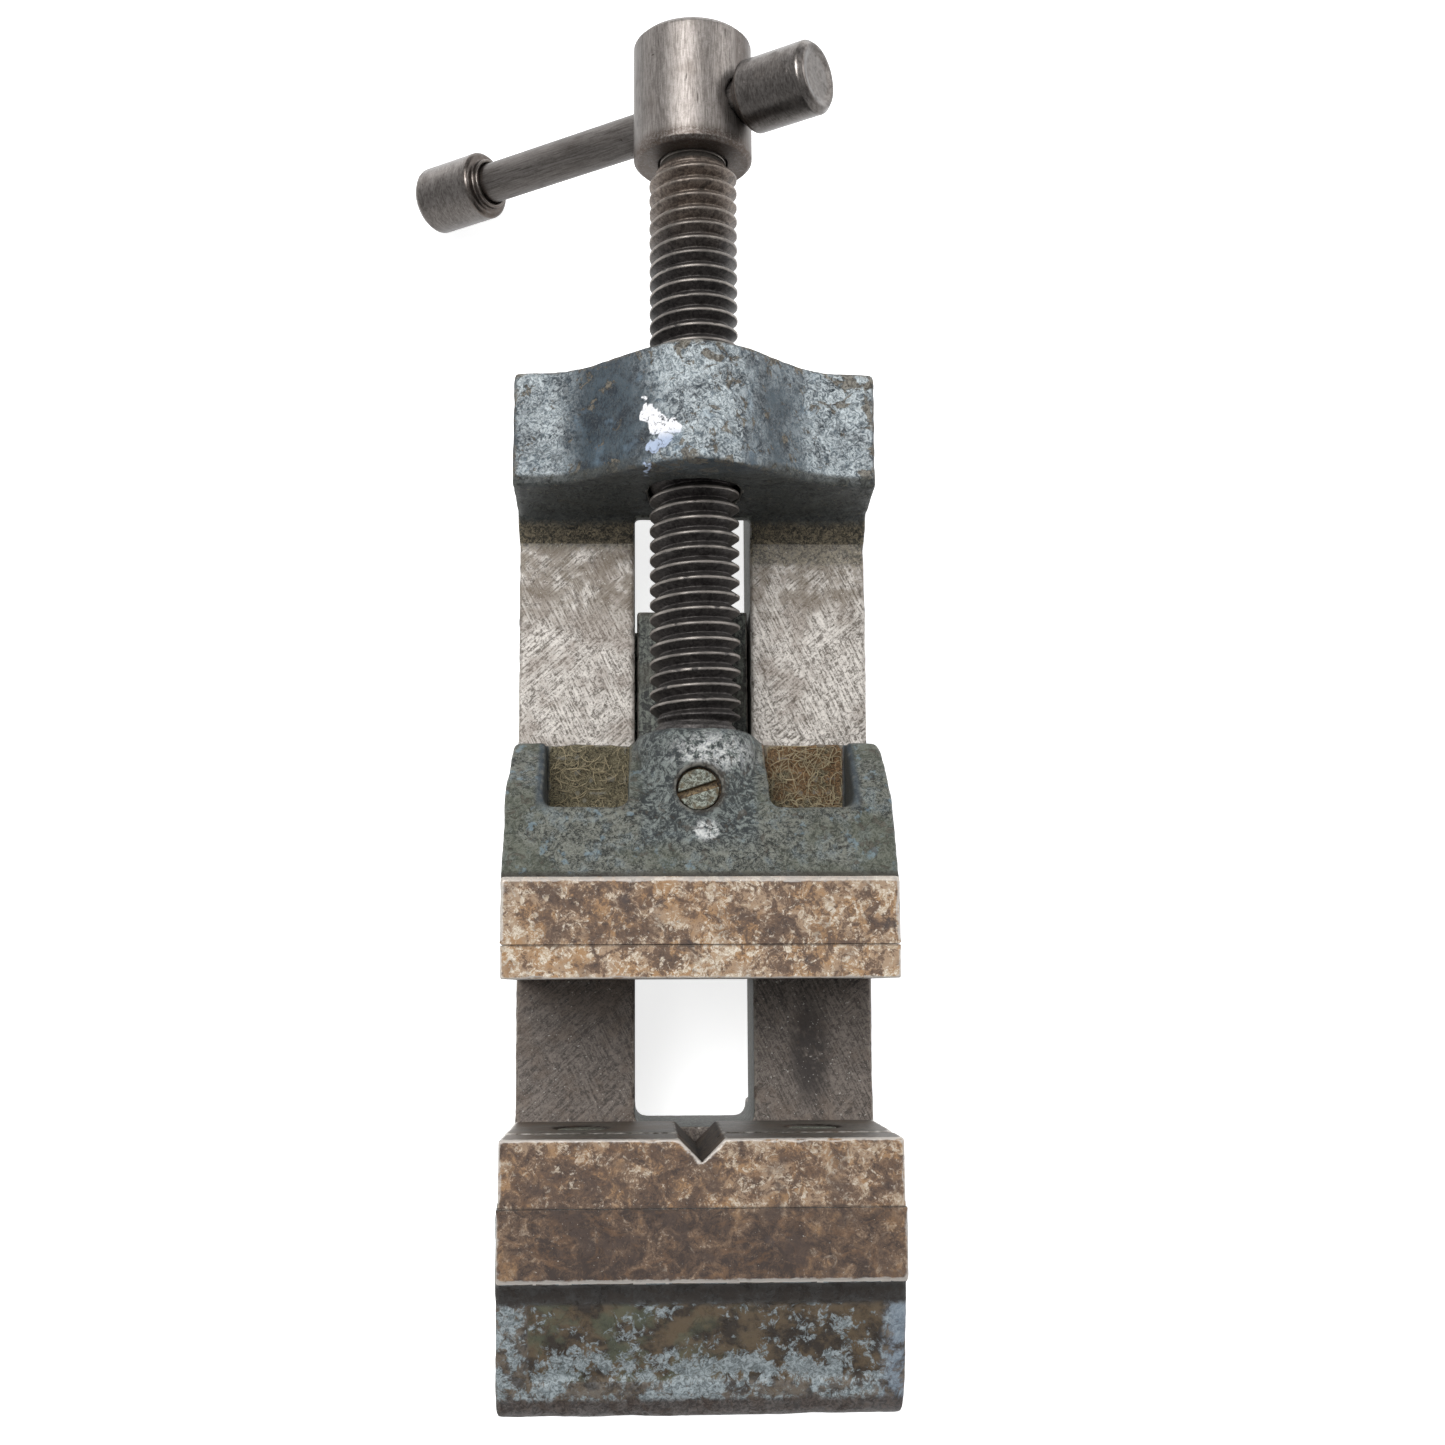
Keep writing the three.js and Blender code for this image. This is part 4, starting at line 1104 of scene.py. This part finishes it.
def seat_moving_plate(co):
    """The same for the moving jaw's plate."""
    co[:, 1] += PLATE_GAP * (co[:, 1] > 40.3)


def make_plates():
    """The two jaw plates, each with a rusty top, and the keeper plate."""
    faces = plate_steel()
    upward = [lambda x, y, z, up: (up > 0.3) & (z > JAW_TOP - 0.8)]
    for side, body, darker, warmer, seed, seat in (
        ("fixed", "base", 0.36, 0.8, 51, seat_fixed_plate),
        ("moving", "moving_jaw", -0.15, 0.3, 61, seat_moving_plate),
    ):
        top = rusty_top(side + "_plate_top", darker, warmer)
        names = (side + "_jaw_plate", "jaw_plate_" + side)
        make_refined(*names, body, "jaw_plate", 0.4, [top, faces], upward, 0.22, seed, 0, seat)
    make_refined("keeper_plate", "keeper", "moving_jaw", "jaw_plate", 0.5, [oily_steel()], (), 0.2, 71)


def make_fasteners():
    """Plate and keeper screws, the retaining screw with the dirt round it, washers and thrust pad."""
    old = screw_steel("old_screw", 0.2, 0.62)
    for start, new_start, body, ends in (
        ("fixed_jaw_screw_", "plate_screw_fixed_", "base", ("left", "right")),
        ("moving_jaw_screw_", "plate_screw_moving_", "moving_jaw", ("left", "right")),
        ("keeper_screw_", "keeper_bolt_", "moving_jaw", ("front", "rear")),
    ):
        for end in ends:
            make_refined(start + end, new_start + end, body, "fastener", 0.22, [old], ease=1)
    dirty = [screw_steel("dirty_screw", 0.9, 1.0)]
    make_refined("spindle_retaining_screw", "retaining_screw", "moving_jaw", "fastener", 0.15, dirty, ease=2)
    make_screw_dirt()
    shiny = [bright_steel("washer_steel", (1, 1, 1), (0, 0, 0), 0.3, 0.8, 0.35)]
    for end in ("front", "rear"):
        make_refined("keeper_washer_" + end, "washer_" + end, "moving_jaw", "bright_steel", 0.2, shiny)
    make_refined("thrust_pad", "thrust_disc", "moving_jaw", "bright_steel", 0.25, shiny)


def make_screw_dirt():
    """A crumbly ring of dirt that fills the gap between the retaining screw and its hole."""
    low, floor, inner, outer = 55.2, 55.3, 3.3, 3.9
    profile = [(CENTRE, low), (outer, low), (outer, 56.75), (3.6, 56.7), (inner, 56.6)]
    profile += [(inner, floor), (CENTRE, floor)]
    crumbs = np.random.default_rng(121).uniform(-0.12, 0.1, 20)
    angles = np.linspace(0, 2 * math.pi, len(crumbs) + 1)
    heights = np.append(crumbs, crumbs[0])

    def crumbled(angle, along):
        return np.where(along > 56, np.interp(angle, angles, heights), 0.0)

    upright = ((0, RETAINER_Y, 0), (0, 0, 1))
    dirt = turned_mesh("dirt", densified(profile, 0.15), 60, upright, crumbled)
    new_piece("screw_dirt", dirt, [packed_dirt()], "moving_jaw", "jaw_paint")


# ---------------------------------------------------------------- spindle and handle


def around(angle, along, radius):
    """Places on a tube of this radius, one row each, and the shape of the grid they came from."""
    grid = np.broadcast_arrays(radius * np.cos(angle), along, radius * np.sin(angle))
    return np.stack(grid, -1).reshape(-1, 3), grid[0].shape


def thread_height(angle, along):
    """How far the right-hand V thread stands above its root, and 0 outside the thread's length."""
    start, end = THREAD
    phase = ((along - start) / PITCH - angle / (2 * math.pi)) % 1.0
    flank = np.abs(phase - 0.5) * 2
    height = np.clip((1 - flank - 0.06) / 0.80, 0, 1)
    run_out = smoothstep(along, start, start + 1.6) * (1 - smoothstep(along, end - 1.6, end))
    points, shape = around(angle, along, 7)
    dents = smoothstep(lattice_noise(points, 1.6, 81), 0.55, 0.95).reshape(shape) * 0.22
    stands = (CREST - ROOT) * height * run_out - dents * smoothstep(height, 0.7, 1.0)
    return np.where((along > start) & (along < end), stands, 0.0)


def drill(piece, line):
    """Cuts the handle bar's hole through a piece."""
    through = [(BAR_HOLE_RADIUS, -20.0), (BAR_HOLE_RADIUS, 20.0)]
    tool = bpy.data.objects.new("drill", turned_mesh("drill", through, 48, line))
    bpy.context.scene.collection.objects.link(tool)
    cut = piece.modifiers.new("cross_hole", "BOOLEAN")
    cut.operation = "DIFFERENCE"
    cut.solver = "EXACT"
    cut.object = tool
    bpy.context.view_layer.update()
    graph = bpy.context.evaluated_depsgraph_get()
    drilled = bpy.data.meshes.new_from_object(piece.evaluated_get(graph))
    piece.modifiers.clear()
    piece.data = drilled
    bpy.data.objects.remove(tool)
    drilled.shade_flat()


def make_spindle():
    """The grooved nose and thread, and the shank that the head sits on."""
    nose = [(CENTRE, 58.6), (5.55, 58.6), (ROOT, 59.4), (ROOT, 64.0), (4.3, 64.0), (4.3, 68.8)]
    nose += [(ROOT, 68.8), (ROOT, 77.5), (7.2, 77.5), (7.2, 78.6), (ROOT, THREAD[0])]
    stations = rounded(nose, 0.2, 2)
    rows = int((THREAD[1] - THREAD[0]) / 0.12)
    stations += [(ROOT, y) for y in np.linspace(*THREAD, rows + 1)[1:]]
    stations += [(6.0, 181.4), (6.0, 182.2), (CENTRE, 182.2)]

    dark = [thread_steel()]
    mesh = turned_mesh("spindle", stations, 96, SPINDLE, thread_height)
    new_piece("spindle_thread", mesh, dark, "spindle", "dark_steel", "spindle_screw")

    end = rounded([(CENTRE, 182.3), (6.0, 182.3), (6.0, 204.0), (5.2, 205.0), (CENTRE, 205.0)], 0.3, 3)
    shank = turned_mesh("shank", densified(end, 0.5), 72, SPINDLE)
    drill(new_piece("spindle_shank", shank, dark, "spindle", "dark_steel", "spindle_screw"), BAR)


def make_head():
    """The spindle's head, its turned outside made truly round again after meshing."""
    skin = Skin(fine_mesh("spindle_head", 0.3))
    x, y, z = skin.co.T
    radius = from_axis(x, z)
    outside = (np.abs(radius - HEAD_RADIUS) < 0.12) & (y > 183.0) & (y < 204.7)
    true = np.where(outside, HEAD_RADIUS / np.maximum(radius, 1e-6), 1.0)
    skin.co[:, 0] = x * true
    skin.co[:, 2] = AXIS_Z + (z - AXIS_Z) * true
    skin.co = skin.blurred(skin.co, 1, 0.3)
    nick_edges(skin, 0.12, 91)
    skin.write()
    skin.store_relief()
    turned = [bright_steel("head_steel", (1, 12, 1), (0, 0, 0), 0.7, 1.0, 0.42)]
    new_piece("handle_head", skin.mesh, turned, "spindle", "bright_steel", "spindle_head")


def worn(seed, depth):
    """A wobble of shallow dips and a few deeper dents, for pieces about as thick as the bar's caps."""

    def wobble(angle, along):
        points, shape = around(angle, along, 6)
        dips = 0.5 - 0.5 * lattice_noise(points, 2.4, seed)
        dents = smoothstep(lattice_noise(points, 1.5, seed + 1), 0.6, 0.95)
        return -(depth * dips + 2 * depth * dents).reshape(shape)

    return wobble


def make_handle():
    """The sliding bar and its two caps, each cap bored to fit over the bar's end."""
    turn = (0, BAR_TILT, 0)
    drawn = [bright_steel("bar_steel", (16, 1, 1), turn, 0.5, 0.59, 0.36)]
    capped = [bright_steel("cap_steel", (1.2, 4, 4), turn, 0.3, 0.72, 0.26)]
    left, right = BAR_STOPS
    low, high = left - CAP_DEPTH + 0.3, right + CAP_DEPTH - 0.3
    wide, narrow = BAR_RADIUS, BAR_RADIUS - 0.5
    profile = [(CENTRE, low), (narrow, low), (wide, low + 0.5)]
    profile += [(wide, high - 0.5), (narrow, high), (CENTRE, high)]
    mesh = turned_mesh("bar", densified(rounded(profile), 0.5), 72, BAR, worn(101, 0.02))
    new_piece("handle_bar", mesh, drawn, "handle", "bright_steel", "tommy_bar")
    outside = [(BAR_HOLE_RADIUS, 0), (4.7, 0), (4.7, 1.2), (5.9, 1.2), (6.4, 1.7), (6.4, 14.2)]
    outside += [(5.5, 15.2), (4.9, 15.2), (3.8, 14.8), (2.2, 14.85), (CENTRE, 14.8)]
    loop = [(CENTRE, CAP_DEPTH), (BAR_HOLE_RADIUS, CAP_DEPTH)] + rounded(outside, 0.28, 3)
    for side, inner, sense in (("left", left, -1), ("right", right, 1)):
        name = "handle_cap_" + side
        stations = densified([(r, inner + sense * y) for r, y in loop], 0.4)
        mesh = turned_mesh(name, stations, 80, BAR, worn(111, 0.03))
        if sense < 0:
            mesh.flip_normals()
        Skin(mesh).store_relief()
        new_piece(name, mesh, capped, "handle", "bright_steel", "bar_cap_" + side)


def add_tube(points, faces, line, radius, sides=5):
    """Adds a thin closed tube along a line to the lists of points and faces."""
    base, last = len(points), len(line) - 1
    for k, place in enumerate(line):
        ahead = line[min(k + 1, last)] - line[max(k - 1, 0)]
        ahead = ahead / max(np.linalg.norm(ahead), 1e-9)
        out = np.cross(ahead, (0, 0, 1))
        out = out / max(np.linalg.norm(out), 1e-9)
        up = np.cross(out, ahead)
        for q in range(sides):
            turn = 2 * math.pi * q / sides
            points.append(tuple((place + radius * (math.cos(turn) * out + math.sin(turn) * up)) * MM))
    for k in range(last):
        for q in range(sides):
            a, b = base + sides * k + q, base + sides * k + (q + 1) % sides
            faces.append((a, b, b + sides, a + sides))
    faces.append(tuple(base + q for q in range(sides)))
    faces.append(tuple(base + sides * last + q for q in reversed(range(sides))))


def make_fibres():
    """Lint and curls of swarf caught in the pockets of the moving jaw."""
    random = np.random.default_rng(7)
    strands, steps, left_share = 240, 7, 0.3
    pocket = ((12.2, 64.2, 43.8), (25.0, 75.3, 46.0))
    points, faces = [], []
    for _ in range(strands):
        side = -1 if random.random() < left_share else 1
        start = random.uniform((12.4, 64.6, 43.9), (24.8, 75.0, 45.2)) * (side, 1, 1)
        heading = random.uniform(0, 2 * math.pi)
        length = random.uniform(1.2, 4.2)
        bend = random.uniform(-0.35, 0.35)
        thick = random.uniform(0.03, 0.075)
        line = [start]
        for _ in range(steps):
            heading += bend
            step = np.array([math.cos(heading), math.sin(heading), random.uniform(-0.12, 0.16)])
            line.append(line[-1] + step * length / steps)
        mirror = (side, 1, 1)
        add_tube(points, faces, np.clip(np.array(line) * mirror, *pocket) * mirror, thick)
    mesh = bpy.data.meshes.new("fibres")
    mesh.from_pydata(points, [], faces)
    new_piece("pocket_lint", mesh, [fibre_finish()], "moving_jaw", "jaw_paint")


add_camera()
add_floor()
add_light()
make_base()
make_moving_jaw()
make_plates()
make_fasteners()
make_spindle()
make_head()
make_handle()
make_fibres()
